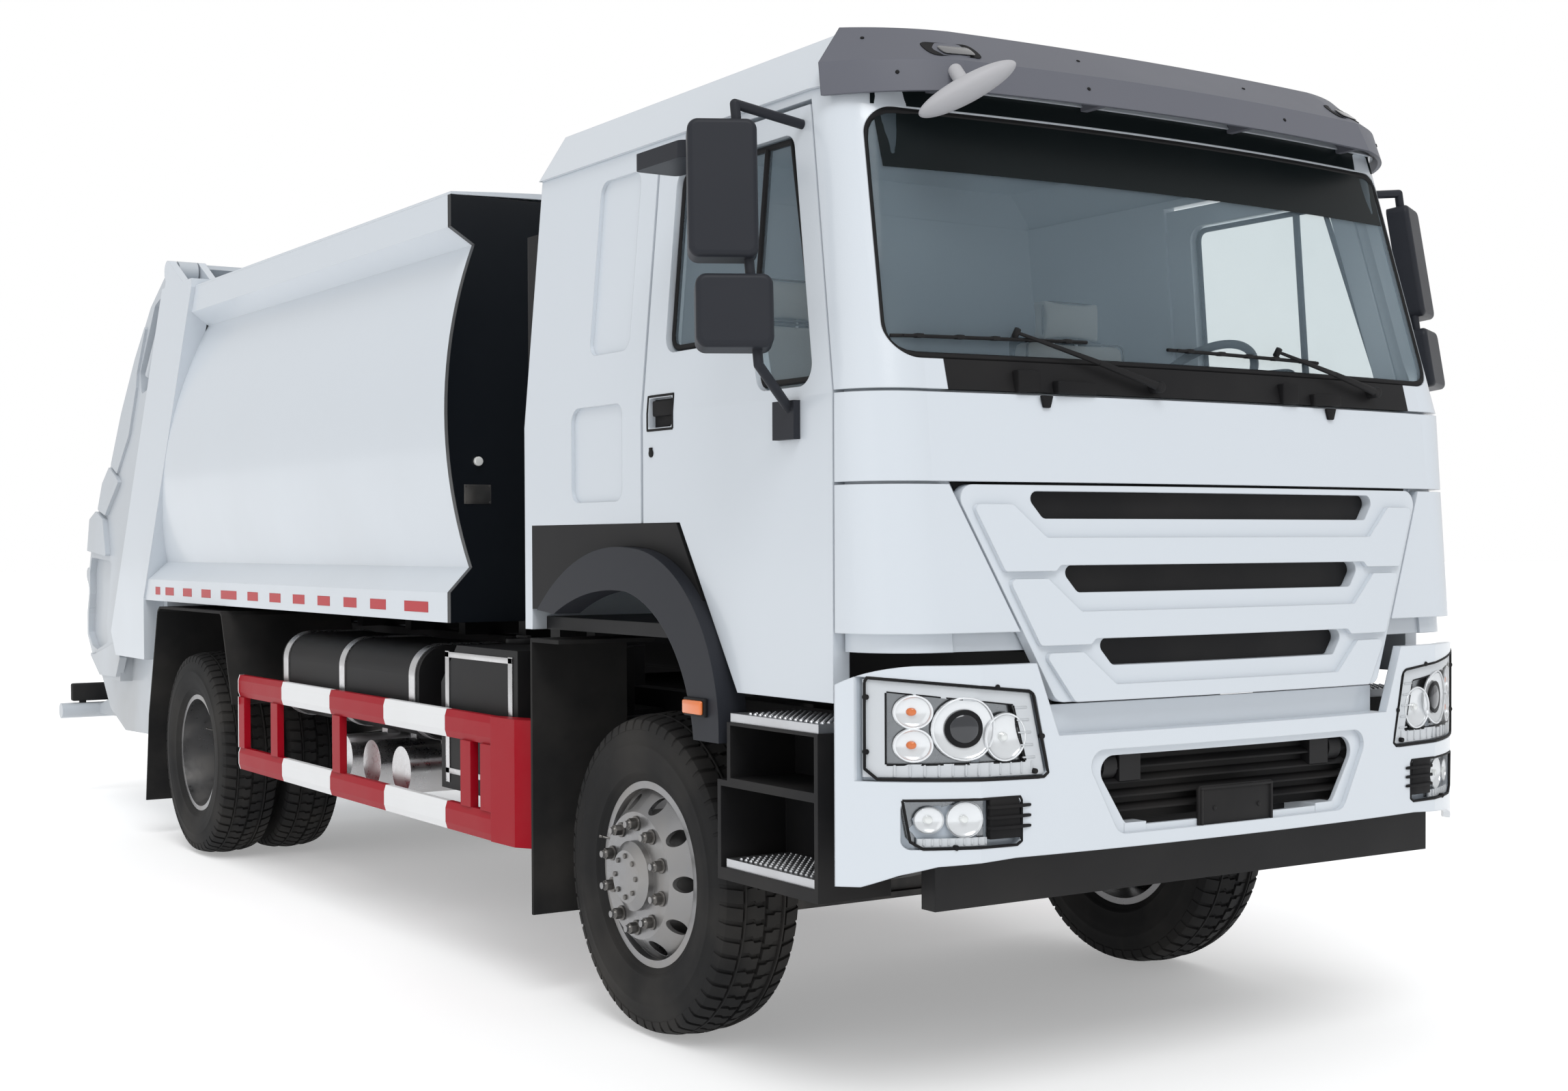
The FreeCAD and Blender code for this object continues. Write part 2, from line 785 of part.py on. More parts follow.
def spring(length, low, high, y):
    """A curved leaf pack seated at z = low in its middle, its two eyes at z = high."""
    half = length / 2
    x = -spring_x
    rise = high - low - spring_depth
    deep = spring_depth
    tip = spring_depth / 4
    top = Part.Arc(V(x, y - half, high), V(x, y, high - rise), V(x, y + half, high)).toShape()
    end = Part.makeLine(V(x, y + half, high), V(x, y + half, high - tip))
    low_arc = Part.Arc(
        V(x, y + half, high - tip), V(x, y, high - rise - deep), V(x, y - half, high - tip),
    ).toShape()
    close = Part.makeLine(V(x, y - half, high - tip), V(x, y - half, high))
    face = Part.Face(Part.Wire([top, end, low_arc, close]))
    leaf = face.extrude(V(spring_width, 0, 0))
    leaf.translate(V(-spring_width / 2, 0, 0))
    pieces = [leaf]
    for side in (-1, 1):
        at = (y + side * (half - spring_eye_radius), high)
        pieces.append(rod((x - spring_width / 2, *at), (x + spring_width / 2, *at), spring_eye_radius))
    hangers = [
        block((x - spring_width / 2, x + spring_width / 2),
              (y + side * (half - spring_eye_radius) - spring_eye_radius,
               y + side * (half - spring_eye_radius) + spring_eye_radius),
              (high, rail_top - rail_height - seat_gap))
        for side in (-1, 1)
    ]
    return fused(pieces + hangers)


def springs():
    """Four leaf packs with their hangers, from the axles up to the frame rails."""
    beam_top = tyre_radius + beam_depth / 2 - beam_drop
    eye_z = rail_top - rail_height - 2 * spring_eye_radius
    front = spring(front_spring_length, beam_top + seat_gap, eye_z, 0)
    tube_top = tyre_radius + axle_tube_radius
    rear = spring(rear_spring_length, tube_top + seat_gap, eye_z + spring_eye_radius, wheelbase)
    save("leaf_springs", Part.makeCompound([front, mirrored(front), rear, mirrored(rear)]))


def chassis_frame():
    """Two channel rails and the crossmembers that tie them together."""
    low = rail_top - rail_height
    outer = -frame_half_width
    rail = block((outer, outer + rail_flange), (frame_front, frame_rear), (low, rail_top))
    rail = rail.cut(block(
        (outer + rail_wall, outer + rail_flange + overrun), (frame_front - overrun, frame_rear + overrun),
        (low + rail_wall, rail_top - rail_wall),
    ))
    pieces = [rail, mirrored(rail)]
    first = engine_front + engine_length + gearbox_length + rail_height
    pitch = (frame_rear - first - rail_height / 2) / (crossmembers - 2)
    middle = rail_top - rail_height / 2
    for i in range(crossmembers - 1):
        y = first + i * pitch
        tube_z = rail_top - 2 * rail_wall - crossmember_radius
        pieces.append(rod((outer + rail_wall / 2, y, tube_z), (-outer - rail_wall / 2, y, tube_z), crossmember_radius))
    beam_y = frame_front + rail_height / 2
    pieces.append(block(
        (outer + rail_wall / 2, -outer - rail_wall / 2), (frame_front, beam_y),
        (low + rail_wall, middle),
    ))
    pieces.append(block((-under_beam_half, under_beam_half), (frame_front, frame_front + under_beam_depth),
                        (under_beam_low_z, rail_top - rail_height)))
    save("frame_rails", fused(pieces + tilt_pivots()))


def powertrain():
    """The engine as a plain block, the gearbox behind it and the shaft to the rear axle."""
    wide = engine_half_width
    back = engine_front + engine_length
    engine = prism("y", [
        (-wide, engine_bottom + wide / 2), (-wide / 2, engine_bottom), (wide / 2, engine_bottom),
        (wide, engine_bottom + wide / 2), (wide, engine_top - wide / 2), (wide * 0.7, engine_top),
        (-wide * 0.7, engine_top), (-wide, engine_top - wide / 2),
    ], (engine_front, back))
    gear_z = (shaft_height + gearbox_radius / 4)
    gearbox = Part.makeCone(
        gearbox_radius * 1.3, gearbox_radius * 0.8, gearbox_length, V(0, back, gear_z), V(0, 1, 0),
    )
    radiator = block(
        (-wide * 1.1, wide * 1.1), (engine_front - wide / 3, engine_front), (engine_bottom + wide / 4, cab_floor_z - 2 * overrun),
    )
    start = (0, back + gearbox_length - overrun, gear_z)
    nose = (0, wheelbase - differential_length, tyre_radius)
    shaft = rod(start, nose, shaft_radius)
    save("engine_and_driveline", fused([engine, gearbox, radiator, shaft]).cut(final_drive()))


def cab_wire(z, half, front, back, inset=0.0):
    """The cab's plan outline at one height: flat back, bowed front and rounded corners."""
    x = half - inset
    y = front + inset
    shoulder_y = y + cab_front_bow
    reach = back - shoulder_y
    turn = 1 - math.sqrt(0.5)
    flank = cab_corner_radius - inset
    nose_x = x - flank
    mid = (x - turn * flank, shoulder_y + turn * reach)
    return Part.Wire([
        Part.Arc(V(x, back, z), V(*mid, z), V(nose_x, shoulder_y, z)).toShape(),
        Part.Arc(V(nose_x, shoulder_y, z), V(0, y, z), V(-nose_x, shoulder_y, z)).toShape(),
        Part.Arc(V(-nose_x, shoulder_y, z), V(-mid[0], mid[1], z), V(-x, back, z)).toShape(),
        Part.makeLine(V(-x, back, z), V(x, back, z)),
    ])


def nose_form(inset):
    """The cab's form ahead of the doors, taken in by an inset."""
    low = cab_wire(cab_low_z, cab_low_half, cab_low_front, door_front, inset)
    belt = cab_wire(cab_belt_z, cab_belt_half, cab_belt_front, door_front, inset)
    roof = cab_wire(cab_roof_z, cab_roof_half, cab_roof_front, door_front_high, inset)
    return Part.makeLoft([low, belt], True, True).fuse(Part.makeLoft([belt, roof], True, True))


def nose_layer(outer, inner, z, x=half_width):
    """The front shell between two insets, within a height and a half width."""
    slab = block((-x, x), (cab_low_front - overrun, door_front_high + overrun), z)
    return nose_form(outer).common(slab).cut(nose_form(inner))


def side_form(inset):
    """The cab's form from the door's front edge to its back, taken in by an inset."""
    outline = [
        (cab_low_half - inset, cab_low_z), (cab_belt_half - inset, cab_belt_z),
        (cab_roof_half - inset, cab_roof_z),
    ]
    outline += [(-x, z) for x, z in reversed(outline)]
    form = prism("y", outline, (door_front, cab_back - inset))
    return form.cut(prism("x", [
        (door_front - overrun, cab_belt_z), (door_front, cab_belt_z), (door_front_high, cab_roof_z),
        (door_front_high, cab_roof_z + overrun), (door_front - overrun, cab_roof_z + overrun),
    ], (-half_width, half_width)))


def pillar_y(z):
    """How far back the door's front edge stands at a height, along the slanted pillar."""
    lean = (door_front_high - door_front) / (cab_roof_z - cab_belt_z)
    return door_front + max(z - cab_belt_z, 0) * lean


def door_outline(gap=0.0):
    """The door's side outline as (y, z) points, grown by a gap."""
    return [
        (pillar_y(door_high_z) + panel_gap - gap, door_high_z + gap), (door_rear + gap, door_high_z + gap),
        (door_rear + gap, door_knee_z - gap), (door_knee_y + gap, door_knee_z - gap),
        (door_toe_y + gap, door_low_z - gap), (door_front + panel_gap - gap, door_low_z - gap),
        (door_front + panel_gap - gap, cab_belt_z),
    ]


def window_outline(gap=0.0):
    """The door window's outline as (y, z) points, taken in by a gap."""
    rear = window_rear - gap
    front = window_front + gap
    lean = pillar_y(window_high_z) - door_front
    return [
        (front + lean, window_high_z - gap), (rear, window_high_z - gap), (rear, window_low_z + gap),
        (window_dip_y, window_low_z + gap), (window_dip_y - door_corner, window_dip_z + gap),
        (front, window_dip_z + gap),
    ]


right_side = (-cab_belt_half - overrun, -cab_belt_half / 2)


def doors():
    """Door leaves cut from the cab's wall, with the window cut and glazed."""
    leaf = side_form(0).cut(side_form(door_wall)).common(prism("x", door_outline(), right_side))
    leaf = leaf.cut(prism("x", window_outline(), right_side, window_corner))
    y, z = handle_y, handle_z
    pocket = prism("x", [(y[0], z[0]), (y[1], z[0]), (y[1], z[1]), (y[0], z[1])], right_side, handle_corner)
    leaf = leaf.cut(pocket.cut(side_form(handle_depth)))
    glass = side_form(glass_depth).cut(side_form(glass_depth + glass_thickness))
    glass = glass.common(prism("x", window_outline(seat_gap), right_side, window_corner))
    save("door_right", leaf)
    save("door_left", mirrored(leaf))
    save("door_glass_right", glass)
    save("door_glass_left", mirrored(glass))


def mirror_arm(points, radius):
    """A bent tube through a list of points."""
    pieces = [rod(a, b, radius) for a, b in zip(points, points[1:])]
    joints = [Part.makeSphere(radius, V(*p)) for p in points[1:-1]]
    return fused(pieces + joints)


def mirror_head(at, size):
    """A rounded mirror housing, turned towards the driver and leaning with the windscreen's pillar."""
    wide, deep, tall = size
    head = prism("y", [(-wide / 2, -tall / 2), (wide / 2, -tall / 2), (wide / 2, tall / 2), (-wide / 2, tall / 2)],
                 (-deep / 2, deep / 2), mirror_corner)
    front = min(head.Faces, key=lambda face: face.CenterOfMass.y)
    head = head.makeFillet(mirror_round, front.Edges)
    head.rotate(V(0, 0, 0), V(1, 0, 0), -mirror_lean)
    head.rotate(V(0, 0, 0), V(0, 0, 1), -mirror_yaw)
    head.translate(V(*at))
    return head


def mirrors():
    """Two mirror heads on a bent tube on each door, the kerb mirror over the right door, and the front mirror."""
    lean = math.tan(math.radians(mirror_lean))
    turn = math.radians(mirror_yaw)
    centre = mirror_main_at

    def tube_at(z):
        return (centre[0] + mirror_tube_offset * math.cos(turn),
                centre[1] - mirror_tube_offset * math.sin(turn) + (z - centre[2]) * lean, z)

    arm = mirror_arm([
        (-cab_belt_half + door_wall / 2, mirror_foot[0], mirror_foot[1]), tube_at(mirror_elbow_z),
        tube_at(mirror_top_z), (-cab_roof_half + door_wall / 2, mirror_root[0], mirror_root[1]),
    ], mirror_tube)
    heads = [mirror_head(mirror_main_at, mirror_main_size), mirror_head(mirror_wide_at, mirror_wide_size)]
    foot = block((-cab_belt_half - mirror_pad, -cab_belt_half + seat_gap),
                 (mirror_foot[0] - mirror_pad_half, mirror_foot[0] + mirror_pad_half),
                 (mirror_foot[1] - mirror_pad_half, mirror_foot[1] + mirror_pad_half))
    whole = fused([arm, foot] + heads).cut(side_form(-seat_gap))
    biggest = max(whole.Solids, key=lambda s: s.Volume)
    x, y, z = kerb_mirror_x, kerb_mirror_y, kerb_mirror_z
    kerb = prism("z", [(x[0], y[0]), (x[1], y[0]), (x[1], y[1]), (x[0], y[1])], z, kerb_mirror_corner)
    stem = rod((-cab_roof_half + door_wall / 2, kerb_arm_y, z[1] - mirror_tube),
               ((x[0] + x[1]) / 2, kerb_arm_y, z[1] - mirror_tube), mirror_tube)
    kerb = fused([kerb, stem]).cut(side_form(-seat_gap))
    save("mirror_right", Part.makeCompound([biggest, max(kerb.Solids, key=lambda s: s.Volume)]))
    save("mirror_left", mirrored(biggest))


def front_mirror(visor):
    """The oval mirror that hangs ahead of the visor on a short stem."""
    size = FreeCAD.Matrix()
    size.scale(*front_mirror_half)
    head = Part.makeSphere(1.0).transformGeometry(size)
    head.rotate(V(0, 0, 0), V(0, 1, 0), front_mirror_tilt)
    head.rotate(V(0, 0, 0), V(0, 0, 1), front_mirror_turn)
    head.translate(V(*front_mirror_at))
    stem = rod(front_mirror_root, front_mirror_at, front_mirror_stem)
    whole = fused([head, stem]).cut(visor)
    save("front_mirror", max(whole.Solids, key=lambda s: s.Volume))


def cab_shell():
    """Sides behind the doors, back wall and front frame, as one welded shell."""
    wide = (-half_width, half_width)
    shell = side_form(0).cut(side_form(cab_wall))
    shell = shell.cut(block(wide, (door_front - overrun, cab_back + overrun), (cab_low_z - overrun, cab_floor_z)))
    for side in (right_side, (-right_side[1], -right_side[0])):
        shell = shell.cut(prism("x", door_outline(door_gap), side))
        shell = shell.cut(block(side, (door_front - overrun, cab_back - cab_wall), (cab_floor_z - overrun, door_knee_z)))
    for y, z in ((tall_recess_y, tall_recess_z), (small_recess_y, small_recess_z)):
        recess = prism("x", [(y[0], z[0]), (y[1], z[0]), (y[1], z[1]), (y[0], z[1])], right_side, recess_corner)
        recess = recess.cut(side_form(side_recess_depth))
        shell = shell.cut(recess).cut(mirrored(recess))
    screen = screen_opening(0)
    upper = nose_layer(0, cab_wall, (cowl_low_z, cab_roof_z)).cut(screen)
    upper = upper.cut(nose_layer(0, cab_skin + seat_gap, (cowl_low_z, screen_low_z + overrun), cowl_half + seat_gap))
    inner = cab_skin + seat_gap
    lower = nose_layer(inner, cab_skin + cab_wall, (cab_floor_z, cowl_low_z))
    lower = lower.cut(nose_layer(inner, inner + grille_mesh_wall + 2 * seat_gap, (grille_low_z, hood_low_z),
                                 grille_top_half))
    save("cab_shell", fused([shell, upper, lower]))


def screen_opening(gap):
    """A prism through the windscreen opening, taken in by a gap."""
    return prism("y", [
        (gap - screen_low_half, screen_low_z + gap), (screen_low_half - gap, screen_low_z + gap),
        (screen_high_half - gap, screen_high_z - gap), (gap - screen_high_half, screen_high_z - gap),
    ], (cab_low_front - overrun, door_front_high), screen_corner)


def roof_form(inset):
    """The crowned roof from the drip rail up, taken in by an inset."""
    def plan(z, half, front):
        edges = cab_wire(z, half, front, door_front_high, inset).Edges[:3]
        x = half - inset
        back = cab_back - inset
        corners = [V(-x, door_front_high, z), V(-x, back, z), V(x, back, z), V(x, door_front_high, z)]
        return Part.Wire(edges + [Part.makeLine(a, b) for a, b in zip(corners, corners[1:])])

    base = plan(cab_roof_z, cab_roof_half + drip_rail, cab_roof_front - drip_rail)
    lid = plan(cab_top_z - inset, cab_roof_half - roof_shoulder, cab_roof_front + roof_shoulder)
    return Part.makeLoft([base, lid], True, True)


def cab_roof():
    """The roof panel, its drip rail just proud of the sides, and the visor over the windscreen."""
    roof = roof_form(0).cut(roof_form(cab_wall / 2))
    save("cab_roof", roof)

    def plan(corners, z, inset):
        half, side_y, nose_x, shoulder_y, front_y = corners
        half, nose_x, shoulder_y, front_y = half - inset, nose_x - inset, shoulder_y + inset, front_y + inset
        mid = (half + visor_bulge * (nose_x - half), side_y + (1 - visor_bulge) * (shoulder_y - side_y))
        return Part.Wire([
            Part.Arc(V(half, side_y, z), V(*mid, z), V(nose_x, shoulder_y, z)).toShape(),
            Part.Arc(V(nose_x, shoulder_y, z), V(0, front_y, z), V(-nose_x, shoulder_y, z)).toShape(),
            Part.Arc(V(-nose_x, shoulder_y, z), V(-mid[0], mid[1], z), V(-half, side_y, z)).toShape(),
            Part.makeLine(V(-half, side_y, z), V(half, side_y, z)),
        ])

    def sheet(inset):
        low, fold = plan(visor_low, visor_low_z, inset), plan(visor_fold, visor_fold_z, inset)
        top = plan(visor_top, visor_top_z, inset)
        return Part.makeLoft([low, fold], True, True).fuse(Part.makeLoft([fold, top], True, True))

    outer = sheet(0)
    inner = sheet(visor_wall)
    blockage = roof_form(-seat_gap).fuse(nose_form(-seat_gap)).fuse(side_form(-seat_gap))
    skin = outer.cut(inner)
    webs = [inner.common(block((x - visor_wall, x + visor_wall), (cab_low_front - half_width, visor_low[1]),
                               (visor_low_z + visor_web, visor_fold_z))) for x in visor_webs]
    whole = fused([skin] + webs).cut(blockage)
    visor = max(whole.Solids, key=lambda s: s.Volume)
    save("sun_visor", visor)
    front_mirror(visor)


def cab_floor():
    """The floor with its engine tunnel and the two arms it tilts on."""
    reach = cab_low_half - cab_wall - seat_gap
    y = (cab_belt_front + cab_wall + cab_front_bow, cab_back - cab_wall - seat_gap)
    floor = block((-reach, reach), (door_front + seat_gap, y[1]), (cab_floor_z, cab_floor_z + cab_floor_wall))
    toe = block((cab_corner_radius - cab_low_half, cab_low_half - cab_corner_radius), (y[0], door_front + seat_gap),
                (cab_floor_z, cab_floor_z + cab_floor_wall))
    tunnel_y = (engine_front - 2 * cab_skin, tunnel_back)
    tunnel = block((-tunnel_half_width, tunnel_half_width), tunnel_y, (cab_floor_z, tunnel_top))
    wall = cab_floor_wall / 2
    under = block((wall - tunnel_half_width, tunnel_half_width - wall), (tunnel_y[0] + wall, tunnel_y[1] - wall),
                  (cab_floor_z - overrun, tunnel_top - wall))
    pieces = [floor, toe, tunnel]
    bores = [under]
    for side in (-1, 1):
        x = sorted((side * (frame_half_width + running_gap), side * (frame_half_width + running_gap + cab_arm_width)))
        r = cab_arm_radius
        pieces.append(rod((x[0], cab_pivot_y, cab_pivot_z), (x[1], cab_pivot_y, cab_pivot_z), r))
        elbow = cab_pivot_y + cab_arm_back
        foot = cab_pivot_y + cab_arm_foot
        pieces.append(prism("x", [
            (cab_pivot_y, cab_pivot_z - r * 0.6), (elbow + r, cab_pivot_z - r * 0.6), (foot + r, cab_floor_z),
            (foot - r, cab_floor_z), (elbow - r, cab_pivot_z + r * 0.6), (cab_pivot_y, cab_pivot_z + r * 0.6),
        ], x))
        bores.append(rod((x[0] - overrun, cab_pivot_y, cab_pivot_z), (x[1] + overrun, cab_pivot_y, cab_pivot_z),
                         cab_pivot_radius + spindle_clearance))
    whole = fused(pieces)
    for bore in bores:
        whole = whole.cut(bore)
    save("cab_floor", whole)


def windscreen():
    """The windscreen, a curved pane set a little back from the cab's skin."""
    z = (screen_low_z, screen_high_z)
    pane = nose_layer(glass_depth / 2, glass_depth / 2 + glass_thickness, z).common(screen_opening(seat_gap))
    save("windscreen", pane)


def grille_edge(z, gap=0.0):
    """Half the grille's width at a height, where its slanted side meets the corner panel."""
    share = (z - grille_low_z) / (hood_low_z - grille_low_z)
    return grille_low_half + share * (grille_top_half - grille_low_half) + gap


def nose_panels():
    """Hood panel, corner panels and slotted grille over the front frame, with the black trim."""
    depth = (cab_low_front - overrun, door_front_high)
    hood = nose_layer(0, cab_skin, (hood_low_z, cowl_low_z - panel_gap))
    z = (corner_low_z, hood_low_z - panel_gap)
    corners = nose_layer(0, cab_skin, z).cut(prism("y", [
        (-grille_edge(z[0], panel_gap), z[0]), (grille_edge(z[0], panel_gap), z[0]),
        (grille_edge(z[1], panel_gap), z[1]), (-grille_edge(z[1], panel_gap), z[1]),
    ], depth))
    save("hood_and_corner_panels", Part.makeCompound(hood.Solids + corners.Solids))

    top = hood_low_z - panel_gap
    grille = nose_layer(0, cab_skin, (grille_low_z, top)).common(prism("y", [
        (-grille_edge(grille_low_z), grille_low_z), (grille_edge(grille_low_z), grille_low_z),
        (grille_edge(top), top), (-grille_edge(top), top),
    ], depth, grille_corner))
    for high, half in zip(slot_top_z, slot_half):
        low = high - slot_height
        grille = grille.cut(prism("y", [
            (-half, high), (half, high), (half - slot_taper, low), (slot_taper - half, low),
        ], depth, slot_corner))
    rise = nose_layer(-band_rise, cab_skin / 2, (grille_low_z, top))
    lows = slot_top_z[1:] + (grille_low_z,)
    laps = slot_half[1:] + (grille_low_half,)
    bands = []
    for high, half, next_high, next_half in zip(slot_top_z, slot_half, lows, laps):
        step, face = high - band_step, high - slot_height - band_drop
        lap = next_high - band_lap if next_high > grille_low_z else next_high
        outline = [
            (grille_edge(step) - band_margin, step), (half + band_flare, step), (half - slot_taper, face),
        ]
        outline += [(-x, z) for x, z in reversed(outline)]
        foot = [(band_margin - grille_edge(lap), lap), (-next_half - band_lap, lap), (-next_half, next_high)]
        if next_high == grille_low_z:
            foot = [(2 * band_margin - grille_edge(lap), lap)]
        outline += foot + [(-x, z) for x, z in reversed(foot)]
        bands.append(rise.common(prism("y", outline, (depth[0] - overrun, depth[1]), band_corner)))
    save("grille_panel", fused([grille] + bands))

    cowl = nose_layer(0, cab_skin, (cowl_low_z, screen_low_z + overrun - seat_gap), cowl_half)
    cowl = cowl.cut(screen_opening(0))
    inner = cab_skin + 2 * seat_gap
    mesh = nose_layer(inner, inner + grille_mesh_wall, (grille_mesh_low_z, hood_low_z - seat_gap),
                      grille_top_half - seat_gap)
    low_edge, high_edge = (grille_edge(z) - band_margin for z in (grille_mesh_low_z, hood_low_z))
    mesh = mesh.common(prism("y", [
        (-low_edge, grille_mesh_low_z), (low_edge, grille_mesh_low_z), (high_edge, hood_low_z), (-high_edge, hood_low_z),
    ], (cab_low_front - half_width, cab_roof_front)))
    return cowl.Solids + mesh.Solids


def fender_trims():
    """The black panel over each front wheel with its sloped leg, and the grey arch round it."""
    def arc(a, b, c):
        return Part.Arc(V(0, *a), V(0, *b), V(0, *c)).toShape()

    def line(a, b):
        return Part.makeLine(V(0, *a), V(0, *b))

    def arch(grow):
        rear = (arch_rear[0] + grow, arch_rear[1])
        rear_mid = (arch_rear_mid[0] + grow, arch_rear_mid[1] + grow)
        top = (arch_top[0], arch_top[1] + grow)
        front_mid = (arch_front_mid[0] - grow, arch_front_mid[1] + grow)
        front = (arch_front[0] - grow, arch_front[1])
        face = Part.Face(Part.Wire([
            arc(rear, rear_mid, top), arc(top, front_mid, front), line(front, arch_in_front),
            arc(arch_in_front, arch_in_front_mid, arch_in_top), arc(arch_in_top, arch_in_rear_mid, arch_in_rear),
            line(arch_in_rear, rear),
        ]))
        band = face.extrude(V(arch_inner_x - arch_outer_x, 0, 0))
        band.translate(V(-arch_inner_x, 0, 0))
        return band

    band = arch(0)
    save("wheel_arches", pair(band))
    panel = prism("x", [
        (cab_back - cab_wall, door_knee_z), (door_knee_y + door_gap + panel_gap, door_knee_z),
        (door_toe_y + door_gap + panel_gap, trim_low_z), (arch_front[0] + trim_wall, trim_low_z),
        (arch_front_mid[0] + overrun, arch_front_mid[1] - arch_drop), (arch_top[0], arch_top[1] - arch_drop),
        (arch_rear[0], arch_rear[1]), (cab_back - cab_wall, arch_rear[1]),
    ], (-cab_low_half, trim_wall - cab_low_half)).cut(arch(seat_gap))
    leg = max(panel.Solids, key=lambda s: s.Volume)
    save("cab_black_trims", Part.makeCompound([leg, mirrored(leg)] + nose_panels()))


def cab_interior():
    """Two seats, the dashboard on its console and the steering wheel."""
    floor = cab_floor_z + cab_floor_wall
    pieces = []
    for side in (-1, 1):
        x = sorted((side * (seat_x - seat_half), side * (seat_x + seat_half)))
        pieces += [
            block((x[0] + trim_wall * 2, x[1] - trim_wall * 2), (seat_y[0] + overrun, seat_y[1]), (floor, seat_z - seat_cushion)),
            block(x, seat_y, (seat_z - seat_cushion, seat_z)),
            prism("x", [
                (seat_y[1] - seat_cushion, seat_z), (seat_y[1], seat_z - seat_cushion / 2),
                (seat_y[1] + seat_lean, seat_back_z), (seat_y[1] + seat_lean - seat_cushion, seat_back_z),
            ], x),
        ]
    console = block((-tunnel_half_width / 2, tunnel_half_width / 2), (dash_y[0], dash_y[0] + dash_wall),
                    (tunnel_top, dash_z[1]))
    dash = prism("x", [
        (dash_y[0], dash_z[0]), (dash_y[0] + dash_wall, dash_z[0]), (dash_y[1], dash_z[0] + dash_wall),
        (dash_y[1] - dash_wall / 2, dash_z[1]), (dash_y[0], dash_z[1]),
    ], (-dash_half, dash_half))
    hub_at = V(seat_x, wheel_rim_at[0], wheel_rim_at[1])
    tilt = V(0, math.cos(math.radians(wheel_rim_lean)), math.sin(math.radians(wheel_rim_lean)))
    wheel = Part.makeTorus(wheel_rim_radius, wheel_rim_tube, hub_at, tilt)
    column = rod(tuple(hub_at), tuple(hub_at - tilt * wheel_rim_radius), wheel_rim_tube * 1.5)
    across = V(wheel_rim_radius, 0, 0)
    spoke = rod(tuple(hub_at - across), tuple(hub_at + across), wheel_rim_tube * 0.8)
    front = fused([console, dash, wheel, column, spoke])
    save("seats_and_dashboard", Part.makeCompound([fused(pieces[:3]), fused(pieces[3:]), front]))


def bumper_plan(inset):
    """The bumper's plan outline taken in by an inset, from its top to its bottom."""
    half = half_width - inset
    flank = bumper_corner_radius - inset
    front = bumper_front + inset
    shoulder = front + bumper_bow
    reach = bumper_side_y - shoulder
    nose_x = half - flank
    z = bumper_low_z - bumper_horn_drop
    mid = (half - bumper_corner_share * flank, shoulder + bumper_corner_share * reach)
    wire = Part.Wire([
        Part.Arc(V(half, bumper_side_y, z), V(*mid, z), V(nose_x, shoulder, z)).toShape(),
        Part.Arc(V(nose_x, shoulder, z), V(0, front, z), V(-nose_x, shoulder, z)).toShape(),
        Part.Arc(V(-nose_x, shoulder, z), V(-mid[0], mid[1], z), V(-half, bumper_side_y, z)).toShape(),
        Part.makeLine(V(-half, bumper_side_y, z), V(half, bumper_side_y, z)),
    ])
    return Part.Face(wire).extrude(V(0, 0, bumper_high_z - z))


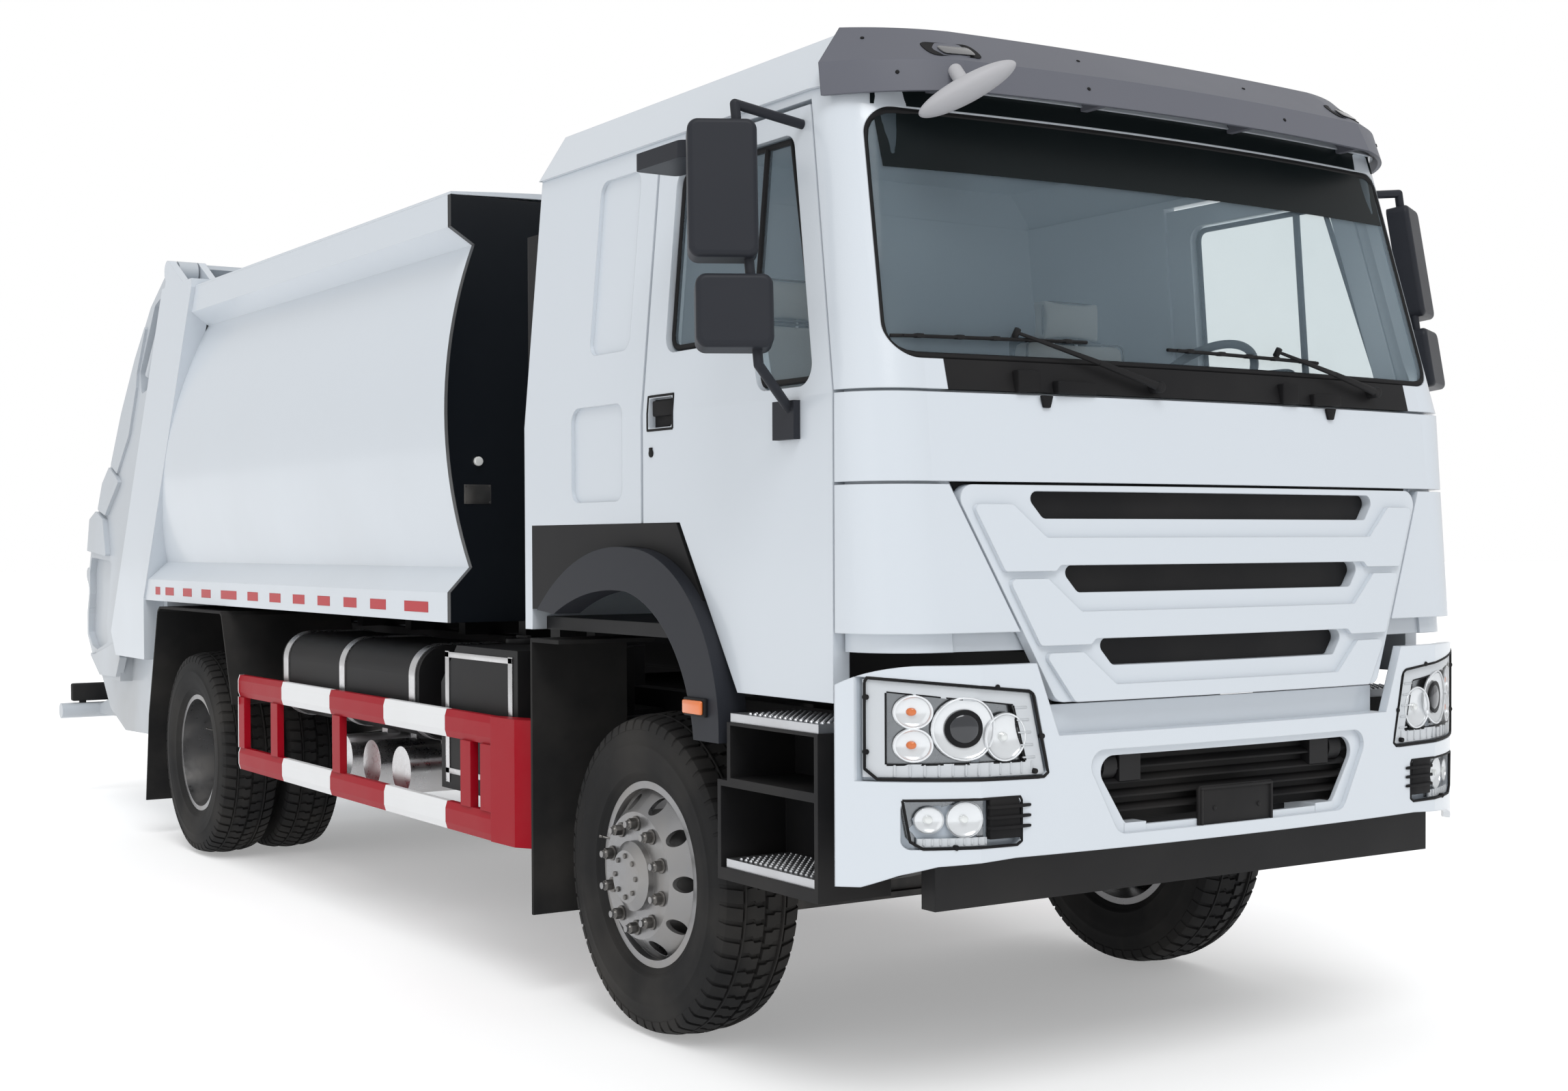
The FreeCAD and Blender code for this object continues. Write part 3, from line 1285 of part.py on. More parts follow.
def bumper():
    """The front bumper with its air intake, lamp pockets, horns and mounting brackets."""
    deep = (bumper_front - overrun, lamp_rear_y)
    whole_depth = (bumper_front - overrun, bumper_side_y + overrun)
    shell = bumper_plan(0).cut(bumper_plan(bumper_wall))
    shell = shell.cut(prism("y", [
        (-lamp_inner_x[0] + bumper_wall, bumper_ledge_z), (lamp_inner_x[0] - bumper_wall, bumper_ledge_z),
        (lamp_inner_x[1], bumper_high_z + overrun), (-lamp_inner_x[1], bumper_high_z + overrun),
    ], whole_depth))
    foot = [(bumper_foot[0][0], bumper_low_z - bumper_horn_drop - overrun)] + list(bumper_foot)
    shell = shell.cut(prism("y", foot + [(-x, z) for x, z in reversed(foot)], whole_depth))
    band_back = bumper_plan(bumper_band_setback + bumper_band_wall)
    span = (bumper_wall - lamp_inner_x[0], lamp_inner_x[0] - bumper_wall)
    band = bumper_plan(bumper_band_setback).cut(band_back).common(block(
        span, whole_depth, (bumper_ledge_z - bumper_wall, bumper_band_z)))
    shelf = bumper_plan(bumper_wall / 2).cut(band_back).common(block(
        span, whole_depth, (bumper_ledge_z - bumper_wall, bumper_ledge_z)))
    shell = shell.cut(prism("y", [
        (-intake_top_half, intake_top_z), (intake_top_half, intake_top_z),
        (intake_low_half, intake_low_z), (-intake_low_half, intake_low_z),
    ], whole_depth, intake_corner))
    lip = bumper_plan(-overrun).cut(bumper_plan(intake_lip_depth))
    shell = shell.cut(lip.common(prism("y", [
        (-intake_top_half - intake_lip, intake_top_z + intake_lip / 2), (intake_top_half + intake_lip, intake_top_z + intake_lip / 2),
        (intake_low_half + intake_lip, intake_low_z - intake_lip / 2), (-intake_low_half - intake_lip, intake_low_z - intake_lip / 2),
    ], whole_depth, intake_corner)))
    lamps = []
    pocket = bumper_plan(0).cut(bumper_plan(lamp_depth))
    pane = bumper_plan(lens_inset).cut(bumper_plan(lamp_depth - seat_gap))
    for outline, corner in (
        ([(-lamp_outer_x, lamp_outer_z[0]), (-lamp_inner_x[0], lamp_inner_z[0]),
          (-lamp_inner_x[1], lamp_inner_z[1]), (-lamp_outer_x, lamp_outer_z[1])], lamp_corner),
        ([(-fog_x[1], fog_z[0]), (-fog_x[0], fog_z[0]), (-fog_x[0], fog_z[1]), (-fog_x[1], fog_z[1])], fog_corner),
    ):
        hole = pocket.common(prism("y", outline, deep, corner))
        shell = shell.cut(hole).cut(mirrored(hole))
        centre = (sum(p[0] for p in outline) / len(outline), sum(p[1] for p in outline) / len(outline))
        shrunk = [(x + math.copysign(lamp_gap, centre[0] - x), z + math.copysign(lamp_gap, centre[1] - z))
                  for x, z in outline]
        lens = pane.common(prism("y", shrunk, (deep[0], deep[1] - lamp_gap), corner))
        lens = lens.common(rod((-half_width - overrun, cab_pivot_y, cab_pivot_z), (0, cab_pivot_y, cab_pivot_z),
                               bumper_swing_radius - lamp_gap))
        lamps += lens.Solids + mirrored(lens).Solids
    brackets = []
    for side in (-1, 1):
        x = sorted((side * frame_half_width, side * (frame_half_width - rail_flange)))
        brackets.append(block(x, (bumper_front, frame_front), (rail_top - rail_height, bumper_bracket_top)))
    swing = rod((-half_width - overrun, cab_pivot_y, cab_pivot_z), (half_width + overrun, cab_pivot_y, cab_pivot_z),
                bumper_swing_radius)
    swing = swing.fuse(block((-half_width - overrun, half_width + overrun), (bumper_front - overrun, cab_pivot_y),
                             (cab_pivot_z, bumper_high_z + overrun)))
    swing = swing.fuse(block((-half_width - overrun, half_width + overrun), (bumper_front - overrun, bumper_side_y + overrun),
                             (cab_pivot_z - bumper_swing_radius, cab_pivot_z)))
    shell = fused([shell, band, shelf]).common(swing)
    shell = fused([shell] + [b.common(bumper_plan(bumper_wall / 2)) for b in brackets])
    save("bumper", shell)
    save("front_lamps", Part.makeCompound(lamps))


def tilt_pivots():
    """Brackets on the frame's nose that carry the cab's tilt pins."""
    pieces = []
    for side in (-1, 1):
        x = sorted((side * (frame_half_width - rail_flange), side * frame_half_width))
        pin_end = side * (frame_half_width + running_gap + cab_arm_width)
        pieces.append(block(x, (cab_pivot_y - cab_arm_radius, frame_front),
                            (cab_pivot_z - cab_arm_radius, cab_pivot_z + cab_arm_radius)))
        pieces.append(rod((side * (frame_half_width - rail_flange), cab_pivot_y, cab_pivot_z),
                          (pin_end, cab_pivot_y, cab_pivot_z), cab_pivot_radius))
    return pieces


def steps():
    """Two boarding steps on each side: a black well with bright treads, hung from the frame."""
    inner_y = (step_front_y + step_wall, step_low_rear_y - step_wall)
    well = block((-step_outer_x, -step_inner_x), (step_front_y, step_low_rear_y), (step_low_z, step_mid_z))
    upper = block((-step_outer_x, -step_inner_x), (step_front_y, step_high_rear_y), (step_mid_z, step_high_z - tread_wall))
    floor_z = step_low_z + 2 * step_wall
    low_pocket = block((-step_outer_x - overrun, -step_inner_x - step_wall), inner_y, (floor_z, step_mid_z - step_wall))
    high_pocket = block(
        (-step_outer_x - overrun, -step_inner_x - step_wall),
        (inner_y[0], step_high_rear_y - step_wall), (step_mid_z + step_wall / 2, step_high_z - tread_wall - step_wall / 2),
    )
    hanger_y = (step_front_y + 3 * step_wall, step_front_y + 7 * step_wall)
    hanger = block((-step_inner_x, -frame_half_width), hanger_y, (rail_top - rail_height / 2, rail_top - rail_wall))
    shape = fused([well, upper, hanger]).cut(low_pocket).cut(high_pocket)
    save("step_wells", pair(shape))
    low_tread = block((-step_outer_x + tread_inset, -step_inner_x - step_wall), (inner_y[0], step_low_rear_y - 2 * step_wall),
                      (floor_z, floor_z + tread_wall))
    high_tread = block((-step_outer_x + tread_inset, -step_inner_x), (step_front_y + tread_inset, step_high_rear_y - tread_inset),
                       (step_high_z - tread_wall, step_high_z))
    treads = [low_tread, high_tread]
    save("step_treads", Part.makeCompound(treads + [mirrored(t) for t in treads]))


def side_tanks():
    """Fuel tank and battery box on each side, with straps and air reservoirs, and the intake duct."""
    r = tank_corner
    outline = [(-tank_x[1], tank_z[0]), (-tank_x[0], tank_z[0]), (-tank_x[0], tank_z[1]), (-tank_x[1], tank_z[1])]
    tank = prism("y", outline, tank_y, r)
    holder_z = (rail_top - rail_height / 2, rail_top - rail_height / 4)
    holders = [block((-tank_x[0] - tiny, -frame_half_width), (y, y + strap_width), holder_z)
               for y in (tank_y[0] + 2 * strap_width, tank_y[1] - 3 * strap_width)]
    box = prism("x", [
        (box_y[0], box_z[0]), (box_y[1], box_z[0]), (box_y[1], box_z[1] - box_chamfer),
        (box_y[1] - box_chamfer, box_z[1]), (box_y[0], box_z[1]),
    ], (-tank_x[1], -tank_x[0]))
    box_holder = block((-tank_x[0] - tiny, -frame_half_width), (box_y[0] + box_chamfer, box_y[1] - box_chamfer), holder_z)
    duct = fused([
        prism("z", [
            (-duct_x[1], duct_y[0]), (-duct_x[0], duct_y[0]), (-duct_x[0], duct_y[1]), (-duct_x[1], duct_y[1]),
        ], duct_z, duct_corner),
        block((-duct_x[0] - strap_width, -duct_x[0] - tiny), (duct_y[0] + duct_corner, duct_y[1] - duct_corner),
              (holder_z[0], duct_z[0] + overrun)),
        block((-duct_x[0] - strap_width, -frame_half_width), (duct_y[0] + duct_corner, duct_y[1] - duct_corner), holder_z),
    ])
    right = [fused([tank] + holders), fused([box, box_holder])]
    save("tanks_and_intake_duct", Part.makeCompound(right + [mirrored(s) for s in right] + [duct]))
    grown = [(x + math.copysign(seat_gap, x + (tank_x[0] + tank_x[1]) / 2),
              z + math.copysign(seat_gap, z - (tank_z[0] + tank_z[1]) / 2)) for x, z in outline]
    wide = [(x + math.copysign(strap_wall, x + (tank_x[0] + tank_x[1]) / 2),
             z + math.copysign(strap_wall, z - (tank_z[0] + tank_z[1]) / 2)) for x, z in outline]
    metal = []
    for y in (tank_y[0] + strap_width / 2, (tank_y[0] + tank_y[1]) / 2, tank_y[1] - strap_width * 1.5):
        metal.append(prism("y", wide, (y, y + strap_width), r + strap_wall).cut(
            prism("y", grown, (y - overrun, y + strap_width + overrun), r + seat_gap)))
    for i in range(air_tanks):
        y = tank_y[0] + (tank_y[1] - tank_y[0]) * (air_tank_start_share + i * air_tank_pitch_share)
        x = -(tank_x[0] + tank_x[1]) / 2
        reservoir = rod((x - air_tank_length / 2, y, air_tank_z), (x + air_tank_length / 2, y, air_tank_z), air_tank_radius)
        hanger = block((x - strap_width / 2, x + strap_width / 2), (y - strap_width / 2, y + strap_width / 2),
                       (air_tank_z, tank_z[0]))
        metal.append(reservoir.fuse(hanger))
    save("straps_and_air_tanks", Part.makeCompound(metal + [mirrored(m) for m in metal]))


def side_guards():
    """Two-rail side guards with posts and a wrapped nose, carried on bars from the frame."""
    x = (-guard_x, guard_wall - guard_x)
    pieces = []
    for low in (guard_z[0], guard_z[1] - guard_rail):
        high = low + guard_rail
        pieces.append(prism("y", [
            (x[1], low), (x[0] + guard_rib, low), (x[0], low + guard_rail / 4), (x[0], high - guard_rail / 4),
            (x[0] + guard_rib, high), (x[1], high),
        ], guard_y))
    last_y = guard_y[1] - guard_post_width
    for share in guard_post_shares:
        y = guard_y[0] + share * (last_y - guard_y[0])
        pieces.append(block(x, (y, y + guard_post_width), (guard_z[0] + guard_rail, guard_z[1] - guard_rail)))
    nose = prism("z", [
        (-guard_x, guard_y[0]), (guard_wall - guard_x, guard_y[0]), (guard_wall - guard_nose_x, guard_nose_y),
        (-guard_nose_x, guard_nose_y), (-guard_x + guard_wall / 4, (guard_y[0] + guard_nose_y) / 2),
    ], guard_z)
    pieces.append(nose.cut(prism("x", [
        (guard_nose_y - overrun, guard_z[0] - overrun), (guard_nose_y + guard_nose_round, guard_z[0] - overrun),
        (guard_nose_y + guard_nose_round / 4, guard_z[0] + guard_nose_round / 4),
        (guard_nose_y - overrun, guard_z[0] + guard_nose_round),
    ], (-guard_x - overrun, overrun - guard_nose_x + guard_wall))))
    for y in (tank_y[0] - guard_bar_gaps[0] - strap_width, tank_y[1] + guard_bar_gaps[1]):
        pieces.append(block((guard_wall - guard_x, -frame_half_width), (y, y + strap_width),
                            (guard_z[1] - guard_rail, guard_z[1] - guard_rail + strap_width)))
    save("side_guards", pair(fused(pieces)))


def mudguards():
    """Flaps behind the front wheels and folded guards with flaps over the twin wheels."""
    bar_z = (rail_top - rail_height / 2, rail_top - rail_height / 4)
    front = fused([
        block((-flap_x[1], -flap_x[0]), (flap_y, flap_y + flap_wall), flap_z),
        block((-flap_x[1], -flap_x[0]), (flap_lip_y, flap_y), (flap_z[1] - flap_wall, flap_z[1])),
        block((-flap_x[0] - strap_width, -frame_half_width), (flap_y, flap_y + 2 * flap_wall), bar_z),
    ])
    outer = [(wheelbase + y, z) for y, z in rear_guard_line]
    inner = [(wheelbase + y, z) for y, z in rear_guard_inner_line]
    x = (-rear_guard_x[1], -rear_guard_x[0])
    sheet = prism("x", outer + inner[::-1], x)
    bars = [block((-rear_guard_x[0] - 2 * strap_width, -frame_half_width), (wheelbase + y, wheelbase + y + strap_width), bar_z)
            for y in rear_guard_bar_y]
    save("mudguards_and_flaps", Part.makeCompound([
        front, mirrored(front), fused([sheet] + bars), mirrored(fused([sheet] + bars)),
    ]))


def body_section(bulge_x, waist_low, waist_high, rail_x, lip, top_x, low_z):
    """One side's edge of the body's section from bottom to top, as edges at y = 0."""
    def at(p):
        return V(-p[0], 0, p[1])

    return [
        Part.makeLine(at((rail_x, low_z)), at((rail_x, body_rail_step_z))),
        Part.makeLine(at((rail_x, body_rail_step_z)), at(waist_low)),
        Part.Arc(at(waist_low), at((bulge_x, body_bulge[1])), at(waist_high)).toShape(),
        Part.makeLine(at(waist_high), at(lip)),
        Part.makeLine(at(lip), at((top_x, body_high_z))),
    ]


def refuse_body():
    """The hollow load body: bulged sides, crowned roof, black front wall and floor on its subframe."""
    outer = body_section(body_bulge[0], body_waist_low, body_waist_high, body_rail_x, body_lip, body_top_rail_x, body_low_z)
    liner = body_liner_x
    inner = [
        Part.makeLine(V(-body_top_rail_x, 0, body_high_z), V(-liner, 0, body_high_z)),
        Part.makeLine(V(-liner, 0, body_high_z), V(-liner, 0, body_waist_high[1])),
        Part.Arc(V(-liner, 0, body_waist_high[1]), V(-body_liner_bulge_x, 0, body_bulge[1]),
                 V(-liner, 0, body_waist_low[1])).toShape(),
        Part.makeLine(V(-liner, 0, body_waist_low[1]), V(-liner, 0, body_low_z)),
        Part.makeLine(V(-liner, 0, body_low_z), V(-body_rail_x, 0, body_low_z)),
    ]
    side_front = body_front + body_wall
    side = Part.Face(Part.Wire(outer + inner)).extrude(V(0, post_front_low[0] - side_front, 0))
    side.translate(V(0, side_front, 0))
    lean = (post_front_low[0] - post_front_high[0]) / (post_front_low[1] - post_front_high[1])
    high_y = post_front_high[0] + lean * (body_high_z - post_front_high[1])
    behind = prism("x", [
        (post_front_low[0], post_front_low[1]), (high_y, body_high_z), (high_y, body_high_z + overrun),
        (rear_overhang + rail_height, body_high_z + overrun), (rear_overhang + rail_height, post_front_low[1]),
    ], (-half_width, half_width))
    save("body_sides", pair(side.cut(behind)), wheelbase)

    wall_wire = Part.Wire(outer + [Part.makeLine(V(-body_top_rail_x, 0, body_high_z), V(0, 0, body_high_z)),
                                   Part.makeLine(V(0, 0, body_high_z), V(0, 0, body_low_z)),
                                   Part.makeLine(V(0, 0, body_low_z), V(-body_rail_x, 0, body_low_z))])
    front = Part.Face(wall_wire).extrude(V(0, body_wall, 0))
    front.translate(V(0, body_front, 0))
    save("body_front_wall", fused([front, mirrored(front)]), wheelbase)

    x = body_top_rail_x
    roof = Part.Face(Part.Wire([
        Part.makeLine(V(-x, 0, body_high_z), V(-x, 0, roof_edge_z)),
        Part.Arc(V(-x, 0, roof_edge_z), V(0, 0, roof_crown_z), V(x, 0, roof_edge_z)).toShape(),
        Part.makeLine(V(x, 0, roof_edge_z), V(x, 0, body_high_z)),
        Part.makeLine(V(x, 0, body_high_z), V(x - body_skin, 0, body_high_z)),
        Part.Arc(V(x - body_skin, 0, body_high_z), V(0, 0, roof_crown_z - body_skin),
                 V(body_skin - x, 0, body_high_z)).toShape(),
        Part.makeLine(V(body_skin - x, 0, body_high_z), V(-x, 0, body_high_z)),
    ])).extrude(V(0, high_y - body_front, 0))
    roof.translate(V(0, body_front, 0))
    save("body_roof", roof, wheelbase)

    floor = block((-liner, liner), (side_front, post_front_low[0]), (body_low_z, body_floor_z))
    pieces = [floor]
    for side in (-1, 1):
        x = sorted((side * frame_half_width, side * (frame_half_width - runner_width)))
        pieces.append(block(x, (body_front, rear_overhang), (rail_top, runner_z)))
    bearer_first_y = body_front + bearer_setback
    for i in range(bearers):
        y = bearer_first_y + i * (bearer_last_y - bearer_first_y) / (bearers - 1)
        pieces.append(block((-bearer_half, bearer_half), (y, y + bearer_width), (runner_z, body_low_z)))
    save("body_floor", fused(pieces), wheelbase)

    post = prism("x", [
        (high_y, body_high_z), (high_y, post_top_z), (seam_y_at(post_top_z), post_top_z),
        seam_low, post_foot[0], post_foot[1], post_front_low,
    ], (-post_outer_x, -post_inner_x))
    post = post.cut(block((-liner - overrun, -post_inner_x + overrun), (high_y, post_front_low[0]), (body_low_z, body_low_z + tiny)))
    lug_y = hinge_y + hinge_boss_radius
    lugs = []
    for x in ((-post_outer_x, hinge_lug_wall - post_outer_x),
              (running_gap - tail_inner_x, running_gap + hinge_lug_wall - tail_inner_x)):
        plate = prism("x", [
            (hinge_lug_foot_y, post_top_z), (hinge_y - hinge_boss_radius * 0.7, hinge_z + hinge_boss_radius * 0.7),
            (hinge_y, hinge_z), (lug_y, post_top_z),
        ], x)
        eye = rod((x[0], hinge_y, hinge_z), (x[1], hinge_y, hinge_z), hinge_boss_radius)
        lugs.append(plate.fuse(eye))
    pin = rod((-post_outer_x, hinge_y, hinge_z), (hinge_lug_wall + running_gap - tail_inner_x, hinge_y, hinge_z), hinge_pin_radius)
    bar = block((-post_outer_x, post_outer_x), (high_y, seam_y_at(post_top_z)), (body_high_z, post_top_z))
    bar = bar.cut(prism("x", [
        (seam_y_at(post_top_z), post_top_z), (seam_y_at(post_top_z) + rail_height, post_top_z),
        (seam_y_at(body_high_z) + rail_height, body_high_z), (seam_y_at(body_high_z), body_high_z),
    ], (-half_width, half_width)))
    right = fused([post, pin] + lugs)
    sill = block((-post_inner_x, post_inner_x), (post_front_low[0] - bearer_width, post_front_low[0]), (sill_bar_z, body_low_z))
    save("body_rear_frame", fused([right, mirrored(right), bar, sill]), wheelbase)


def seam_y_at(z):
    """Where the seam between body and tailgate lies at a height."""
    return seam_high[0] + (z - seam_high[1]) * (seam_low[0] - seam_high[0]) / (seam_low[1] - seam_high[1])


def along_seam(start, down, back):
    """A (y, z) point reached from start by going down along the seam and back from it."""
    length = math.hypot(seam_low[0] - seam_high[0], seam_low[1] - seam_high[1])
    dy = (seam_low[0] - seam_high[0]) / length
    dz = (seam_low[1] - seam_high[1]) / length
    return (start[0] + down * dy - back * dz, start[1] + down * dz + back * dy)


def tailgate():
    """Tailgate sides and cover with the trough they carry, hung on two pins at the roof."""
    top_gap = along_seam((seam_y_at(post_top_z), post_top_z), -running_gap, tail_seam_gap)
    low_gap = along_seam(seam_low, 2 * running_gap, tail_seam_gap)
    outline = [(hinge_y, hinge_z - hinge_boss_radius), top_gap, low_gap]
    outline += list(reversed(tail_rear)) + [(hinge_y, hinge_z + hinge_boss_radius)]
    side = prism("x", outline, (-tail_outer_x, -tail_inner_x))
    boss = rod((-tail_outer_x, hinge_y, hinge_z), (-tail_inner_x, hinge_y, hinge_z), hinge_boss_radius)
    slot = prism("x", ram_slot, (-tail_outer_x - overrun, ram_slot_depth - tail_outer_x), ram_slot_corner)
    well = prism("x", lifter_well, (-tail_outer_x - overrun, lifter_well_depth - tail_outer_x), lifter_well_corner)
    plates = [prism("x", line, (-tail_outer_x - rise, overrun - tail_outer_x), cover_plate_corner)
              for line, rise in zip(cover_plates, cover_plate_rise)]
    ram_x = ram_slot_depth - tail_outer_x - lift_ram_radius + seat_gap
    ram = [rod((ram_x, *lift_ram[0]), (ram_x, *lift_ram[1]), lift_ram_radius),
           rod((ram_slot_depth - tail_outer_x + seat_gap, *lift_ram[0]),
               (ram_x - lift_ram_radius / 2, *lift_ram[0]), lift_ram_eye)]
    cheek = prism("x", cheek_foot, (-tail_cheek_x, -tail_inner_x))
    bore = rod((-tail_outer_x - overrun, hinge_y, hinge_z), (overrun - tail_inner_x, hinge_y, hinge_z),
               hinge_pin_radius + spindle_clearance)
    lifter_bore = rod((-tail_outer_x - overrun, *lifter_pivot), (overrun - tail_inner_x, *lifter_pivot),
                      lifter_pin_radius + spindle_clearance)
    right = fused([side, boss, cheek]).cut(slot).cut(well)
    right = fused([right] + plates + ram).cut(bore).cut(lifter_bore)
    lug_room = hinge_lug_wall + 2 * running_gap
    cover = prism("x", list(tail_cover) + [(y - tail_cover_wall / 2, z - tail_cover_wall) for y, z in reversed(tail_cover)],
                  (-tail_inner_x, tail_inner_x))
    for x in ((-tail_inner_x, lug_room - tail_inner_x), (tail_inner_x - lug_room, tail_inner_x)):
        cover = cover.cut(block(x, (hinge_y - rail_height, hinge_y + 2 * hinge_boss_radius), (body_high_z, hinge_z + rail_height)))

    def arc_face(radius):
        start = math.radians(180)
        end = math.radians(trough_sill)
        mid = (start + end) / 2
        points = [V(0, trough_centre[0] + radius * math.cos(a), trough_centre[1] + radius * math.sin(a))
                  for a in (start, mid, end)]
        return points

    a, b = arc_face(trough_radius), arc_face(trough_radius + trough_wall)
    sheet = Part.Face(Part.Wire([
        Part.Arc(*a).toShape(), Part.makeLine(a[2], b[2]), Part.Arc(*reversed(b)).toShape(), Part.makeLine(b[0], a[0]),
    ])).extrude(V(2 * tail_inner_x, 0, 0))
    sheet.translate(V(-tail_inner_x, 0, 0))
    lugs = []
    for x in ((-ram_lug_gap - ram_lug_wall, -ram_lug_gap), (ram_lug_gap, ram_lug_gap + ram_lug_wall)):
        lug = prism("x", [
            (ram_lug_root[0], ram_lug_root[1] - 2 * ram_eye_radius), (ram_base[0], ram_base[1] - ram_eye_radius),
            (ram_base[0] + ram_eye_radius, ram_base[1]), (ram_base[0], ram_base[1] + ram_eye_radius),
            (ram_lug_root[0] + ram_eye_radius, ram_lug_root[1] + 2 * ram_eye_radius),
        ], x)
        lugs.append(lug.cut(Part.makeCylinder(trough_radius, 2 * half_width, V(-half_width, *trough_centre), V(1, 0, 0))))
    pin_x = ram_lug_gap + ram_lug_wall
    lugs.append(rod((-pin_x, *ram_base), (pin_x, *ram_base), ram_pin_radius))
    arms = []
    for side in (-1, 1):
        x = sorted((side * guard_arm[0], side * guard_arm[1]))
        arms.append(prism("x", [
            (guard_arm_root[0], guard_arm_root[1]), (guard_arm_root[0] - rail_flange, guard_arm_root[1] - rail_flange),
            (guard_tube[0], guard_tube[1] - guard_tube_radius / 2), (guard_tube[0], guard_tube[1] + guard_tube_radius / 2),
            (guard_arm_root[0] + 3 * rail_flange, guard_arm_root[1] + rail_flange),
        ], x).cut(Part.makeCylinder(trough_radius, 2 * half_width, V(-half_width, *trough_centre), V(1, 0, 0))))
    tube = rod((-guard_tube_half, *guard_tube), (guard_tube_half, *guard_tube), guard_tube_radius)
    save("tailgate", fused([right, mirrored(right), cover, sheet] + lugs + arms + [tube]), wheelbase)


def packer():
    """The carriage that slides down inside the tailgate and the packing blade hinged to it."""
    half = packer_half
    wide = carriage_wall / 2
    start = blade_pivot
    plate = prism("x", [
        along_seam(start, -carriage_end_gap, -wide), along_seam(start, -carriage_end_gap, wide),
        along_seam(start, -carriage_length, wide), along_seam(start, -carriage_length, -wide),
    ], (-half, half))
    pieces = [plate]
    for x in carriage_lug_x:
        lug = prism("x", [
            along_seam(start, -carriage_end_gap - overrun, -wide * 0.8), along_seam(start, -carriage_end_gap - overrun, wide * 0.8),
            along_seam(start, 0, blade_pivot_radius * 0.9), along_seam(start, 0, -blade_pivot_radius * 0.9),
        ], (x, x + ram_lug_wall * 2))
        eye = rod((x, *start), (x + ram_lug_wall * 2, *start), blade_pivot_radius)
        pieces += [lug, eye]
    for side in (-1, 1):
        x = sorted((side * half, side * (tail_inner_x - seat_gap)))
        for down in (-carriage_length, -carriage_end_gap - shoe_length):
            pieces.append(prism("x", [
                along_seam(start, down, -shoe_wall / 2), along_seam(start, down, shoe_wall / 2),
                along_seam(start, down + shoe_length, shoe_wall / 2), along_seam(start, down + shoe_length, -shoe_wall / 2),
            ], x))
    pin = rod((-carriage_pin_half, *start), (carriage_pin_half, *start), blade_pin_radius)
    save("packer_carriage", fused(pieces + [pin]), wheelbase)

    lean = math.radians(blade_lean)
    down = (-math.sin(lean), -math.cos(lean))
    across = (math.cos(lean), -math.sin(lean))

    def at(length, offset):
        return (start[0] + down[0] * length + across[0] * offset, start[1] + down[1] * length + across[1] * offset)

    web = blade_wall / 2
    head = blade_pivot_radius + running_gap
    blade = prism("x", [
        at(head, -web), at(head, web), at(blade_length * 0.7, web), at(blade_length, web / 2),
        at(blade_length, -web / 4), at(blade_length * 0.8, -web),
    ], (-half, half))
    parts = [blade]
    for x in blade_knuckle_x:
        span = (x, x + ram_lug_wall * 2)
        parts.append(rod((span[0], *start), (span[1], *start), blade_pivot_radius))
        parts.append(prism("x", [at(0, -web), at(0, web), at(head + web, web), at(head + web, -web)], span))
    whole = fused(parts)
    for x in blade_knuckle_x:
        whole = whole.cut(rod((x - overrun, *start), (x + 2 * ram_lug_wall + overrun, *start),
                              blade_pin_radius + spindle_clearance))
    save("packing_blade", whole, wheelbase)


